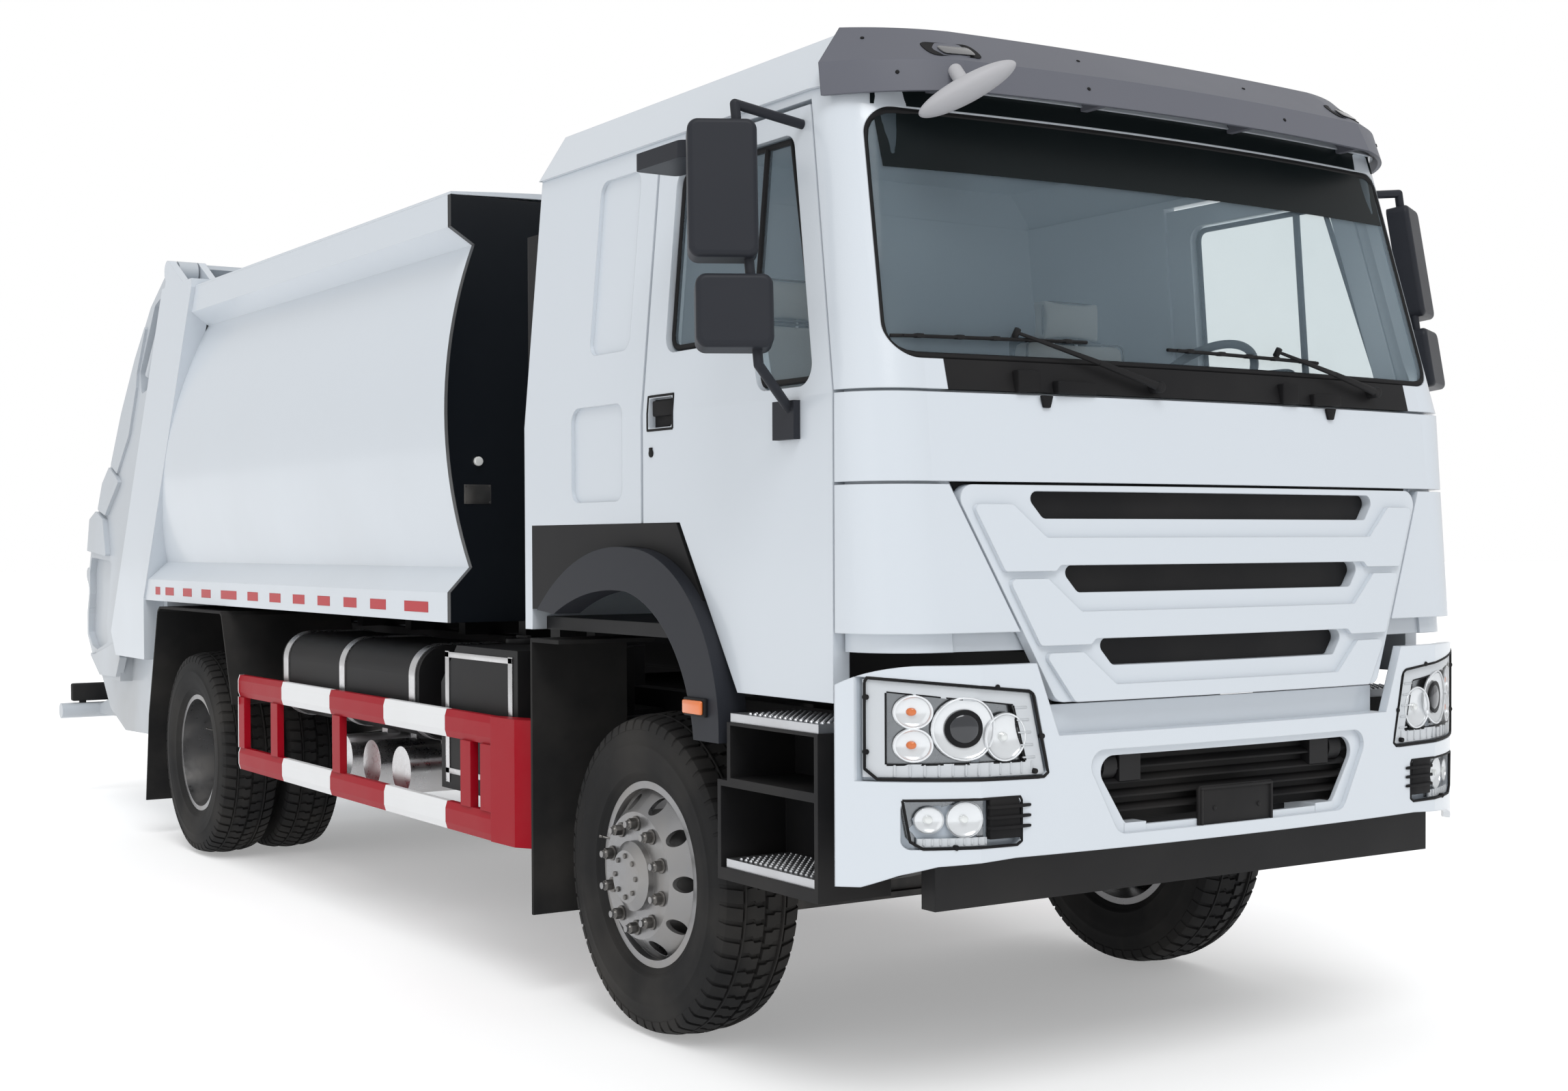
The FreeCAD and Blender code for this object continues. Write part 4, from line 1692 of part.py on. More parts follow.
def bin_lifter():
    """The lifting frame with its comb and trunnion bar, and the ram that swings it."""
    pieces = []
    for side in (-1, 1):
        x = sorted((side * lifter_outer_x, side * (lifter_outer_x - lifter_arm_wall)))
        half = lifter_arm_depth / 2
        (py, pz), (by, bz), (ty, tz) = lifter_pivot, lifter_beam, lifter_bar
        pieces += [
            rod((x[0], py, pz), (x[1], py, pz), half),
            prism("x", [(py, pz - half), (by, bz - half), (by, bz + half), (py, pz + half)], x),
            prism("x", [(by - half, bz), (by + half, bz), (ty + half, tz), (ty - half, tz)], x),
            rod((side * (tail_outer_x - lifter_well_depth), py, pz), (x[0] if side < 0 else x[1], py, pz), lifter_pin_radius),
        ]
    pieces.append(rod((-lifter_outer_x, *lifter_beam), (lifter_outer_x, *lifter_beam), lifter_tube))
    pieces.append(rod((-lifter_outer_x, *lifter_bar), (lifter_outer_x, *lifter_bar), lifter_tube))
    (by, bz), (ty, tz) = lifter_beam, lifter_bar
    plate = prism("x", [(by, bz), (by + comb_wall, bz), (ty + comb_wall, tz), (ty, tz)], (-comb_half, comb_half))
    pieces.append(plate)
    pitch = 2 * comb_half / comb_teeth
    for i in range(comb_teeth):
        x = -comb_half + (i + 0.5) * pitch - comb_tooth / 2
        pieces.append(prism("x", [
            (ty, tz), (ty + comb_tooth, tz + lifter_tube), (ty + comb_tooth, tz + 2 * lifter_tube), (ty, tz + lifter_tube),
        ], (x, x + comb_tooth)))
    for x in ((-ram_lug_gap - ram_lug_wall, -ram_lug_gap), (ram_lug_gap, ram_lug_gap + ram_lug_wall)):
        pieces.append(prism("x", [
            (by - lifter_tube * 0.7, bz), (by, bz - lifter_tube * 0.7), (ram_eye[0] + ram_eye_radius, ram_eye[1] - ram_eye_radius / 2),
            (ram_eye[0] + ram_eye_radius, ram_eye[1] + ram_eye_radius / 2), (ram_eye[0], ram_eye[1] + 2 * ram_eye_radius),
        ], x))
    slot = block((-ram_lug_gap, ram_lug_gap), (by - lifter_arm_depth, ty + lifter_arm_depth),
                 (bz - lifter_arm_depth, tz - lifter_tube - ram_lug_gap))
    save("bin_lifter", fused(pieces).cut(slot), wheelbase)

    base = V(0, *ram_base)
    eye = V(0, *ram_eye)
    axis = (eye - base).normalize()
    half = ram_lug_gap - running_gap
    bore = ram_pin_radius + spindle_clearance
    barrel_start = base + axis * 2 * ram_eye_radius
    barrel_end = base + axis * ram_barrel_length
    lug = rod((-half, *ram_base), (half, *ram_base), ram_eye_radius)
    neck = rod(tuple(base), tuple(barrel_start), ram_rod_radius)
    barrel = lug.fuse(neck).fuse(rod(tuple(barrel_start), tuple(barrel_end), ram_radius))
    inside = rod(tuple(base + axis * 3 * ram_eye_radius), tuple(barrel_end + axis * overrun), ram_rod_radius + spindle_clearance)
    barrel = barrel.cut(inside).cut(rod((-half - overrun, *ram_base), (half + overrun, *ram_base), bore))
    save("lifter_ram_barrel", barrel, wheelbase)
    stem = rod(tuple(base + axis * (3 * ram_eye_radius + running_gap)), tuple(eye - axis * ram_eye_radius * 0.7), ram_rod_radius)
    tip = rod((-half, *ram_eye), (half, *ram_eye), ram_eye_radius)
    save("lifter_ram_rod", stem.fuse(tip), wheelbase)


def main():
    os.makedirs("parts", exist_ok=True)
    wheels()
    knuckles()
    rear_axle()
    springs()
    chassis_frame()
    powertrain()
    doors()
    mirrors()
    cab_shell()
    cab_roof()
    cab_floor()
    windscreen()
    fender_trims()
    cab_interior()
    bumper()
    steps()
    side_tanks()
    side_guards()
    mudguards()
    refuse_body()
    tailgate()
    packer()
    bin_lifter()


main()
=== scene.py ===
"""Looks of a rear-loading garbage truck: its finishes, fittings, camera and stage."""

import math

import bmesh
import bpy
from mathutils import Matrix, Vector


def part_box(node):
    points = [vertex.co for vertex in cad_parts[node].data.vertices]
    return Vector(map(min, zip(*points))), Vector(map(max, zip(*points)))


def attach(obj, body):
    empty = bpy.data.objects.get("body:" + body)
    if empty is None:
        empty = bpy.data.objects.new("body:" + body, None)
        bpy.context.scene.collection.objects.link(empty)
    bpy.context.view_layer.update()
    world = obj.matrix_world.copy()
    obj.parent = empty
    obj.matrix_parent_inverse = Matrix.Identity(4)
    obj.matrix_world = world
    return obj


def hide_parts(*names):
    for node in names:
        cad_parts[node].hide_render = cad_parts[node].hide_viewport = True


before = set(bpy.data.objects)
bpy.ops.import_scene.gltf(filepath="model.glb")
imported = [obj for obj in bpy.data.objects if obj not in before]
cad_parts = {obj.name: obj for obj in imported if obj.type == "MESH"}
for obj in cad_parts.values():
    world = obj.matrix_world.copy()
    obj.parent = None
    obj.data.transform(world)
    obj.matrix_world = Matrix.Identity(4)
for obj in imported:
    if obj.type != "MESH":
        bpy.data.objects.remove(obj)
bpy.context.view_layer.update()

bl_info = {
    "name": "Garbage Truck Looks",
    "version": (1, 0, 0),
    "blender": (4, 5, 0),
    "location": "View3D > Sidebar > Truck",
    "description": "Dresses a two-axle garbage truck with its fittings and finishes",
    "category": "Object",
}

# Places read from the frame
tyre_low, tyre_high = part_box("tyre_front_right")
front_y = (tyre_low.y + tyre_high.y) / 2
axle_z = (tyre_low.z + tyre_high.z) / 2
rear_y = sum(corner.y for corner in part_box("wheels_rear_right")) / 2
right = -1
left = 1
sides = ((right, "right"), (left, "left"))
backwards = (0, 1, 0)
nose_y = front_y - 2.0    # a plane ahead of the truck
far = 9.0    # a distance from the middle that is outside the truck all round


def deselect():
    """Leaves edit mode and selects nothing."""
    if bpy.context.object and bpy.context.object.mode != "OBJECT":
        bpy.ops.object.mode_set(mode="OBJECT")
    bpy.ops.object.select_all(action="DESELECT")


def pick(obj):
    """Makes one object the only selected and active one."""
    deselect()
    obj.select_set(True)
    bpy.context.view_layer.objects.active = obj
    return obj


def settle(name):
    """Names the new object and puts its place in its mesh."""
    obj = bpy.context.object
    obj.name = name
    obj.data.name = name
    bpy.ops.object.transform_apply(location=True, rotation=True, scale=True)
    return obj


class edit:
    """Edit mode on one object, with everything selected at the start."""

    def __init__(self, obj):
        self.obj = obj

    def __enter__(self):
        pick(self.obj)
        bpy.ops.object.mode_set(mode="EDIT")
        bpy.ops.mesh.select_all(action="SELECT")
        return self.obj

    def __exit__(self, *error):
        bpy.ops.object.mode_set(mode="OBJECT")


def select_edge(obj, ends):
    """In edit mode, selects only the edge between two vertices."""
    mesh = bmesh.from_edit_mesh(obj.data)
    bpy.ops.mesh.select_all(action="DESELECT")
    for edge in mesh.edges:
        if {vertex.index for vertex in edge.verts} == ends:
            edge.select_set(True)
    mesh.select_flush_mode()
    bmesh.update_edit_mesh(obj.data)


def modify(obj, kind, **settings):
    """Adds a modifier with its settings and applies it."""
    pick(obj)
    modifier = obj.modifiers.new(kind.lower(), kind)
    for key, value in settings.items():
        setattr(modifier, key, value)
    bpy.ops.object.modifier_apply(modifier=modifier.name)
    return obj


def bevelled(obj, width, segments=2):
    """Rounds an object's sharp edges."""
    if width:
        modify(obj, "BEVEL", width=width, segments=segments, limit_method="ANGLE")
    return obj


def box(name, low, high, bevel=0.0, segments=2):
    """A block between two opposite corners, its edges rounded."""
    deselect()
    low, high = (Vector(tuple(map(end, low, high))) for end in (min, max))
    bpy.ops.mesh.primitive_cube_add(size=1, location=(low + high) / 2, scale=high - low)
    return bevelled(settle(name), bevel, segments)


def bar(name, start, end, radius, sides=20, bevel=0.0, end_radius=None):
    """A round bar between two points, or a cone where its end has its own radius."""
    deselect()
    start, end = Vector(start), Vector(end)
    along = end - start
    bpy.ops.mesh.primitive_cone_add(
        vertices=sides, radius1=radius, radius2=radius if end_radius is None else end_radius,
        depth=along.length, location=(start + end) / 2,
        rotation=along.to_track_quat("Z", "Y").to_euler())
    return bevelled(settle(name), bevel)


def plate(name, points, push, bevel=0.0, segments=2, corner=0.0):
    """A flat outline of 3D points pushed out by a vector, with its corners rounded if asked."""
    deselect()
    bpy.ops.mesh.primitive_circle_add(vertices=len(points), fill_type="NGON")
    obj = bpy.context.object
    for vertex, point in zip(obj.data.vertices, points):
        vertex.co = point
    with edit(obj):
        if corner:
            bpy.ops.mesh.bevel(offset=corner, segments=5, affect="VERTICES")
        bpy.ops.mesh.extrude_region_move(TRANSFORM_OT_translate={"value": push})
        bpy.ops.mesh.select_all(action="SELECT")
        bpy.ops.mesh.normals_make_consistent(inside=False)
    return bevelled(settle(name), bevel, segments)


def tube(name, points, radius, rings=4, bend=0.0):
    """A pipe through points, each corner a curve of the bend's reach, as a closed mesh."""
    deselect()
    bpy.ops.curve.primitive_bezier_curve_add()
    obj = bpy.context.object
    curve = obj.data
    curve.splines.clear()
    spline = curve.splines.new("BEZIER")
    knots = []
    points = [Vector(point) for point in points]
    for i, point in enumerate(points):
        if bend and 0 < i < len(points) - 1:
            for other in (points[i - 1], points[i + 1]):
                reach = min(bend, (other - point).length * 0.45)
                knots.append((point + (other - point).normalized() * reach, point))
        else:
            knots.append((point, point))
    spline.bezier_points.add(len(knots) - 1)
    for i, (knot, (place, corner)) in enumerate(zip(spline.bezier_points, knots)):
        knot.handle_left_type = knot.handle_right_type = "FREE"
        knot.co = place
        inner = place + (corner - place) * 0.55
        before = knots[i - 1][0] if i else place
        after = knots[i + 1][0] if i < len(knots) - 1 else place
        entering = (place - before).length < 1e-9 or (corner - place).dot(after - place) > 0
        knot.handle_right = inner if entering else place + (after - place) / 3
        knot.handle_left = place + (before - place) / 3 if entering else inner
    curve.dimensions = "3D"
    curve.resolution_u = 6
    curve.bevel_depth = radius
    curve.bevel_resolution = rings
    curve.use_fill_caps = True
    pick(obj)
    bpy.ops.object.convert(target="MESH")
    return settle(name)


def spun(name, profile, steps, closed=True, centre=(0, 0, 0)):
    """A profile of (x, radius) points turned about the x direction through a centre."""
    deselect()
    bpy.ops.mesh.primitive_circle_add(vertices=len(profile))
    obj = bpy.context.object
    centre = Vector(centre)
    for vertex, (x, radius) in zip(obj.data.vertices, profile):
        vertex.co = centre + Vector((x, 0, radius))
    with edit(obj):
        if not closed:
            select_edge(obj, {0, len(profile) - 1})
            bpy.ops.mesh.delete(type="EDGE")
            bpy.ops.mesh.select_all(action="SELECT")
        bpy.ops.mesh.spin(steps=steps, angle=math.tau, center=centre, axis=(1, 0, 0))
        bpy.ops.mesh.select_all(action="SELECT")
        bpy.ops.mesh.remove_doubles(threshold=1e-5)
        bpy.ops.mesh.normals_make_consistent(inside=False)
    return settle(name)


def ringed(obj, count, centre):
    """Repeats an object's mesh round the x direction through a centre."""
    with edit(obj):
        bpy.ops.mesh.spin(steps=count - 1, dupli=True, angle=math.tau * (count - 1) / count,
                          center=centre, axis=(1, 0, 0))
    return obj


def mirrored(obj, name=None, plane_x=0.0):
    """A copy on the other side of a plane across the truck, its faces pointing outwards again."""
    copy = obj.copy()
    copy.data = obj.data.copy()
    bpy.context.scene.collection.objects.link(copy)
    if name:
        copy.name = name
    copy.data.transform(Matrix.Translation((2 * plane_x, 0, 0)) @ Matrix.Diagonal((-1, 1, 1, 1)))
    with edit(copy):
        bpy.ops.mesh.flip_normals()
    return copy


def joined(name, objs):
    """Several objects made one."""
    pick(objs[0])
    for obj in objs:
        obj.select_set(True)
    if len(objs) > 1:
        bpy.ops.object.join()
    whole = bpy.context.object
    whole.name = name
    whole.data.name = name
    return whole


def fitted(name, parts, body, coat, smooth=35, replaces=()):
    """Joins parts to a piece, with its shading, finish, body and the solids it stands for."""
    obj = pick(joined(name, parts))
    if smooth:
        bpy.ops.object.shade_smooth_by_angle(angle=math.radians(smooth))
    obj.data.materials.clear()
    obj.data.materials.append(coats[coat].material)
    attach(obj, body)
    if replaces:
        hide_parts(*replaces)
    return obj


class Signal:
    """A node's output, so that shader maths reads as an expression."""

    def __init__(self, finish, socket):
        self.finish = finish
        self.socket = socket

    def with_other(self, operation, other, swapped=False):
        first, second = (other, self) if swapped else (self, other)
        return self.finish.node("ShaderNodeMath", {"operation": operation}, {0: first, 1: second})

    def __add__(self, other):
        return self.with_other("ADD", other)

    def __sub__(self, other):
        return self.with_other("SUBTRACT", other)

    def __rsub__(self, other):
        return self.with_other("SUBTRACT", other, True)

    def __mul__(self, other):
        return self.with_other("MULTIPLY", other)

    def __truediv__(self, other):
        return self.with_other("DIVIDE", other)

    def __gt__(self, other):
        return self.with_other("GREATER_THAN", other)

    def __lt__(self, other):
        return self.with_other("LESS_THAN", other)

    def __mod__(self, other):
        return self.with_other("FLOORED_MODULO", other)

    def __abs__(self):
        return self.with_other("ABSOLUTE", 0.0)

    __radd__ = __add__
    __rmul__ = __mul__


class Finish:
    """One material, patterned on the piece's own coordinates."""

    def __init__(self, name, colour, roughness=0.5, metallic=0.0):
        self.material = bpy.data.materials.new(name)
        self.material.use_nodes = True
        self.tree = self.material.node_tree
        self.tree.nodes.clear()
        self.output = self.tree.nodes.new("ShaderNodeOutputMaterial")
        self.shader = self.tree.nodes.new("ShaderNodeBsdfPrincipled")
        self.tree.links.new(self.shader.outputs[0], self.output.inputs[0])
        self.place = self.node("ShaderNodeTexCoord", {}, {}, "Object")
        parts = self.tree.nodes.new("ShaderNodeSeparateXYZ")
        self.tree.links.new(self.place.socket, parts.inputs[0])
        self.x, self.y, self.z = (Signal(self, parts.outputs[i]) for i in range(3))
        self.colour = tuple(colour) + (1.0,)
        self.shade({"Base Color": self.colour, "Roughness": roughness, "Metallic": metallic})

    def node(self, kind, settings, sockets, out=0):
        """A node with its settings, then its sockets' values or links, as its output."""
        made = self.tree.nodes.new(kind)
        for key, value in settings.items():
            setattr(made, key, value)
        for key, value in sockets.items():
            self.feed(made.inputs[key], value)
        return Signal(self, made.outputs[out])

    def feed(self, socket, value):
        """Links a signal to a socket, or sets the socket to a plain value."""
        if isinstance(value, Signal):
            self.tree.links.new(value.socket, socket)
        else:
            socket.default_value = value

    def shade(self, sockets):
        """Feeds the surface shader's sockets."""
        for key, value in sockets.items():
            self.feed(self.shader.inputs[key], value)
        return self

    def grain(self, scale, detail=2.0, roughness=0.5):
        return self.node("ShaderNodeTexNoise", {}, {
            "Vector": self.place, "Scale": scale, "Detail": detail, "Roughness": roughness})

    def mix(self, share, first, second):
        return self.node("ShaderNodeMix", {"data_type": "RGBA"}, {0: share, 6: first, 7: second}, 2)

    def ramp(self, signal, low, high):
        """A signal stretched so that low gives 0 and high gives 1."""
        return self.node("ShaderNodeMapRange", {}, {0: signal, 1: low, 2: high})

    def bump(self, height, distance, strength=1.0, edge=0.0):
        sockets = {"Height": height, "Distance": distance, "Strength": strength}
        if edge:
            sockets["Normal"] = self.node("ShaderNodeBevel", {"samples": 4}, {"Radius": edge})
        return self.shade({"Normal": self.node("ShaderNodeBump", {}, sockets)})


coats = {}
dust = (0.34, 0.31, 0.27, 1.0)
plastic_shine = 0.14
paint_coat_roughness = 0.12


def painted(name, colour, roughness=0.32, coat=0.5, edge=0.004, low=0.15, high=1.6, dirt=0.10,
            shine=0.5):
    """Sprayed paint: faint orange peel, softened edges and road film that thins upwards."""
    paint = Finish(name, colour, roughness)
    paint.shade({"Coat Roughness": paint_coat_roughness, "Specular IOR Level": shine})
    cloud = paint.grain(1.7, 4.0)
    height = 1.0 - paint.ramp(paint.z, low, high)
    spots = paint.ramp(cloud, 0.55, 0.85) * (dirt * 0.12)
    film = height * paint.ramp(cloud, 0.38, 0.72) * dirt + spots
    paint.shade({"Base Color": paint.mix(film, paint.colour, dust),
                 "Roughness": roughness + film * 0.6 + (paint.grain(9.0) - 0.5) * 0.05,
                 "Coat Weight": coat - film * coat})
    return paint.bump(paint.grain(220.0, 1.0), 0.00012, edge=edge)


def moulded(name, colour, roughness=0.55, grain=900.0, edge=0.003, dirt=0.12, depth=0.00015):
    """Moulded plastic: fine leather grain, faded patches and dust low down."""
    plastic = Finish(name, colour, roughness)
    plastic.shade({"Specular IOR Level": plastic_shine})
    cloud = plastic.grain(3.0, 5.0)
    film = plastic.ramp(cloud, 0.4, 0.8) * dirt * (1.3 - plastic.ramp(plastic.z, 0.2, 2.6))
    plastic.shade({"Base Color": plastic.mix(film, plastic.colour, dust),
                   "Roughness": roughness + (cloud - 0.5) * 0.15})
    return plastic.bump(plastic.grain(grain, 2.0), depth, edge=edge)


def cast(name, colour, roughness=0.6, metallic=0.3, dirt=0.3):
    """Cast or forged iron under black primer, rough and dusty."""
    iron = Finish(name, colour, roughness, metallic)
    cloud = iron.grain(6.0, 6.0)
    iron.shade({"Base Color": iron.mix(iron.ramp(cloud, 0.42, 0.78) * dirt, iron.colour, dust),
                "Roughness": roughness + (cloud - 0.5) * 0.3})
    return iron.bump(iron.grain(160.0, 4.0), 0.0006, 0.7, edge=0.003)


def metal(name, colour, roughness=0.3, metallic=1.0, scale=40.0, dirt=0.15, depth=0.0001):
    """Bare or silvered metal, with fine scuffs and a little grime in patches."""
    steel = Finish(name, colour, roughness, metallic)
    cloud = steel.grain(5.0, 5.0)
    scuffs = steel.grain(scale, 6.0, 0.7)
    film = steel.ramp(cloud, 0.45, 0.8) * dirt
    steel.shade({"Base Color": steel.mix(film, steel.colour, dust),
                 "Roughness": roughness + (scuffs - 0.5) * 0.25 + film * 0.5,
                 "Metallic": metallic - film * metallic})
    return steel.bump(scuffs, depth, edge=0.002)


def glazed(name, tint, clear, painted_reflection_share=0.03, roughness=0.02):
    """Tinted glass: reflects by its angle, with a steady share of its flat surface colour mixed in as
    a painted reflection, and lets the rest through, darkened by its tint.
    """
    glass = Finish(name, tint, roughness)
    through = glass.node("ShaderNodeBsdfTransparent", {}, {"Color": tuple(clear) + (1.0,)})
    smear = glass.ramp(glass.grain(2.2, 5.0), 0.5, 0.9)
    slant = glass.node("ShaderNodeLayerWeight", {}, {"Blend": 0.5}, "Facing")
    # The fixed share paints a reflection in the surface's flat colour at every angle; the smear adds
    # real smudges.
    share = slant * slant * slant * slant * 0.5 + painted_reflection_share + smear * 0.03
    surface = Signal(glass, glass.shader.outputs[0])
    glass.feed(glass.output.inputs[0],
               glass.node("ShaderNodeMixShader", {}, {0: share, 1: through, 2: surface}))
    return glass


class TruckFinishes(bpy.types.PropertyGroup):
    """Colours of the truck's main finishes."""

    body_white: bpy.props.FloatVectorProperty(
        name="Body white", description="Cool white of the cab and the load body",
        default=(0.575, 0.620, 0.670), subtype="COLOR", min=0.0, max=1.0)
    visor_grey: bpy.props.FloatVectorProperty(
        name="Visor grey", description="Grey of the sun visor and the wheel arches",
        default=(0.120, 0.125, 0.148), subtype="COLOR", min=0.0, max=1.0)
    guard_red: bpy.props.FloatVectorProperty(
        name="Guard red", description="Red of the side guards' bands",
        default=(0.31, 0.0010, 0.010), subtype="COLOR", min=0.0, max=1.0)
    trim_black: bpy.props.FloatVectorProperty(
        name="Trim black", description="Black of the plastic trims and steps",
        default=(0.011, 0.011, 0.012), subtype="COLOR", min=0.0, max=1.0)
    rubber_black: bpy.props.FloatVectorProperty(
        name="Rubber black", description="Black of the tyres and flaps",
        default=(0.014, 0.014, 0.0145), subtype="COLOR", min=0.0, max=1.0)
    glass_tint: bpy.props.FloatVectorProperty(
        name="Glass tint", description="What the windows let through",
        default=(0.965, 0.985, 0.985), subtype="COLOR", min=0.0, max=1.0)


class TruckView(bpy.types.PropertyGroup):
    """Where the camera stands and how it frames the truck."""

    from_right: bpy.props.FloatProperty(
        name="Sideways", description="Camera's distance to the truck's right", default=4.2996,
        unit="LENGTH")
    ahead: bpy.props.FloatProperty(
        name="Ahead", description="Camera's distance ahead of the front axle", default=5.5740,
        unit="LENGTH")
    height: bpy.props.FloatProperty(
        name="Height", description="Camera's height over the ground", default=1.5854, unit="LENGTH")
    yaw: bpy.props.FloatProperty(
        name="Yaw", description="Turn towards the truck's left", default=math.radians(32.443),
        subtype="ANGLE")
    pitch: bpy.props.FloatProperty(
        name="Pitch", description="Tilt upwards", default=math.radians(-0.950), subtype="ANGLE")
    roll: bpy.props.FloatProperty(
        name="Roll", description="Turn about the line of sight", default=math.radians(-0.254),
        subtype="ANGLE")
    lens: bpy.props.FloatProperty(
        name="Lens", description="Focal length in millimetres on a 36 mm sensor", default=45.749)
    shift_x: bpy.props.FloatProperty(
        name="Shift across", description="Sideways shift of the frame", default=0.0248)
    shift_y: bpy.props.FloatProperty(
        name="Shift up", description="Upward shift of the frame", default=0.0200)


def mix_finishes():
    """Mixes every finish once, in the colours that are set."""
    c = bpy.context.scene.truck_finishes
    white = tuple(c.body_white)
    coats.update(
        white=painted("cab_white_paint", white, dirt=0.05, edge=0.005),
        body_white=painted("load_body_white_paint", white, 0.36, 0.4, dirt=0.09, low=0.9, high=2.4),
        # The tailgate's white is the body white darkened to 0.82 as painted shade; its road film is
        # set heavy, partly real dirt and partly painted shade.
        tail_white=painted("tailgate_white_paint_with_painted_shade", tuple(v * 0.82 for v in white), 0.4, 0.3,
                           dirt=0.30, low=0.5, high=2.6),
        black_paint=painted("front_wall_black_paint", (0.004, 0.0055, 0.008), 0.3, 0.15,
                            dirt=0.03, shine=0.25),
        chassis=painted("chassis_black_paint", (0.006, 0.006, 0.007), 0.55, 0.05, dirt=0.05,
                        high=1.3, shine=0.25),
        visor=moulded("visor_grey_plastic", c.visor_grey, 0.42, dirt=0.06),
        trim=moulded("black_trim_plastic", c.trim_black, 0.5, dirt=0.04),
        # Black plastic, also used for the marker lamps' painted recess shade.
        dark=moulded("black_plastic_and_painted_recess_shade", (0.008, 0.008, 0.009), 0.6, dirt=0.04),
        iron=cast("axle_cast_iron", (0.028, 0.028, 0.03)),
        wheel=metal("wheel_silver_lacquer", (0.27, 0.27, 0.275), 0.30, 0.95, dirt=0.45),
        nut=metal("wheel_nut_steel", (0.15, 0.145, 0.14), 0.35, dirt=0.3),
        bright=metal("tread_aluminium", (0.55, 0.56, 0.58), 0.35, scale=90.0),
        tank=metal("air_tank_aluminium", (0.62, 0.62, 0.63), 0.28, dirt=0.3),
        # The bowls' chrome is only half metallic over a near-white, painting bright highlights, and
        # the backing between them is a dark grey copy of it, painting shade.
        chrome=metal("reflector_chrome_painted_highlight", (0.86, 0.87, 0.88), 0.16, 0.55, dirt=0.0, depth=0.00002),
        backing=metal("reflector_backing_painted_shade", (0.26, 0.27, 0.28), 0.25, dirt=0.0, depth=0.00002),
        mirror=moulded("front_mirror_grey", (0.42, 0.42, 0.44), 0.4, dirt=0.04),
        head=moulded("mirror_head_plastic", (0.022, 0.024, 0.030), 0.42, dirt=0.02),
        ram=metal("ram_chrome", (0.7, 0.71, 0.72), 0.12, dirt=0.05),
        rubber=moulded("black_rubber", c.rubber_black, 0.72, 500.0, dirt=0.07),
        # The windows' flat blue-grey surface colour, mixed in at a share of 0.10, is a painted sky
        # reflection.
        glass=glazed("window_glass", (0.36, 0.47, 0.56), c.glass_tint, 0.10),
        guard=guard_paint("side_guard_banded_paint", c.guard_red),
        clear=glazed("clear_lens_glass", (0.05, 0.05, 0.05), (0.95, 0.96, 0.97)),
        frost=painted("frosted_lens_rim", (0.62, 0.64, 0.66), 0.25, 0.6, dirt=0.03),
        bulb=metal("lamp_bulb_glass", (0.85, 0.86, 0.84), 0.12, 0.3, dirt=0.0, depth=0.00002),
        amber=painted("amber_lamp_plastic", (0.72, 0.17, 0.03), 0.2, 0.8, dirt=0.05),
        lens=painted("projector_glass", (0.015, 0.016, 0.02), 0.05, 1.0, dirt=0.0),
        smoke=painted("marker_lens_plastic", (0.10, 0.10, 0.105), 0.15, 0.8, dirt=0.03),
        seal=moulded("seal_rubber", (0.010, 0.010, 0.011), 0.6, 700.0, dirt=0.05),
        # Near-black film: the sun band and the visor's painted shadow.
        shade=moulded("sun_band_and_painted_shadow_film", (0.006, 0.009, 0.010), 0.35, 600.0, dirt=0.02),
        tape=painted("red_reflective_tape", (0.42, 0.004, 0.012), 0.3, 0.1, dirt=0.06, low=0.5,
                     high=2.5, shine=0.2),
        cloth_dark=moulded("seat_piping_cloth", (0.10, 0.095, 0.09), 0.8, 300.0, dirt=0.0,
                           depth=0.0004),
        cloth=moulded("seat_cover_cloth", (0.42, 0.40, 0.37), 0.85, 300.0, dirt=0.0, depth=0.0005))


def guard_paint(name, red):
    """Side guard paint in red and white bands along the truck, the nose left red."""
    band_length, tube_depth, film_share = 0.61, 0.045, 0.04
    white = (0.74, 0.75, 0.76, 1.0)
    paint = painted(name, red, 0.40, 0.0, dirt=0.04, low=0.3, high=1.3, shine=0.12)
    along = paint.y - (front_y + 1.44)
    step = paint.node("ShaderNodeMath", {"operation": "FLOOR"}, {0: along / band_length})
    outer = abs(paint.x) > (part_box("side_guards")[1].x - tube_depth)
    share = ((step % 2.0) < 0.5) * (along > 0.0) * outer
    base = paint.mix(share, tuple(red) + (1.0,), white)
    film = paint.ramp(paint.grain(4.0, 5.0), 0.4, 0.8) * film_share
    return paint.shade({"Base Color": paint.mix(film, base, dust)})


node_finishes = {
    "white": ("cab_shell", "cab_roof", "hood_and_corner_panels", "grille_panel", "door_right",
              "door_left", "bumper"),
    "body_white": ("body_sides", "body_roof", "body_rear_frame"),
    "tail_white": ("tailgate", "packer_carriage", "packing_blade", "bin_lifter", "lifter_ram_barrel"),
    "black_paint": ("body_front_wall",),
    "chassis": ("frame_rails", "body_floor", "cab_floor", "engine_and_driveline"),
    "visor": ("sun_visor",),
    "mirror": ("front_mirror",),
    "head": ("mirror_right", "mirror_left", "wheel_arches"),
    "trim": ("cab_black_trims", "step_wells", "tanks_and_intake_duct"),
    "iron": ("axles", "leaf_springs", "knuckle_right", "knuckle_left"),
    "wheel": ("wheel_front_right", "wheel_front_left", "wheels_rear_right", "wheels_rear_left"),
    "bright": ("step_treads",),
    "tank": ("straps_and_air_tanks",),
    "ram": ("lifter_ram_rod",),
    "rubber": ("mudguards_and_flaps", "tyre_front_right", "tyre_front_left", "tyres_rear_right",
               "tyres_rear_left"),
    "glass": ("windscreen", "door_glass_right", "door_glass_left"),
    "guard": ("side_guards",),
    "clear": ("front_lamps",),
    "cloth": ("seats_and_dashboard",),
}


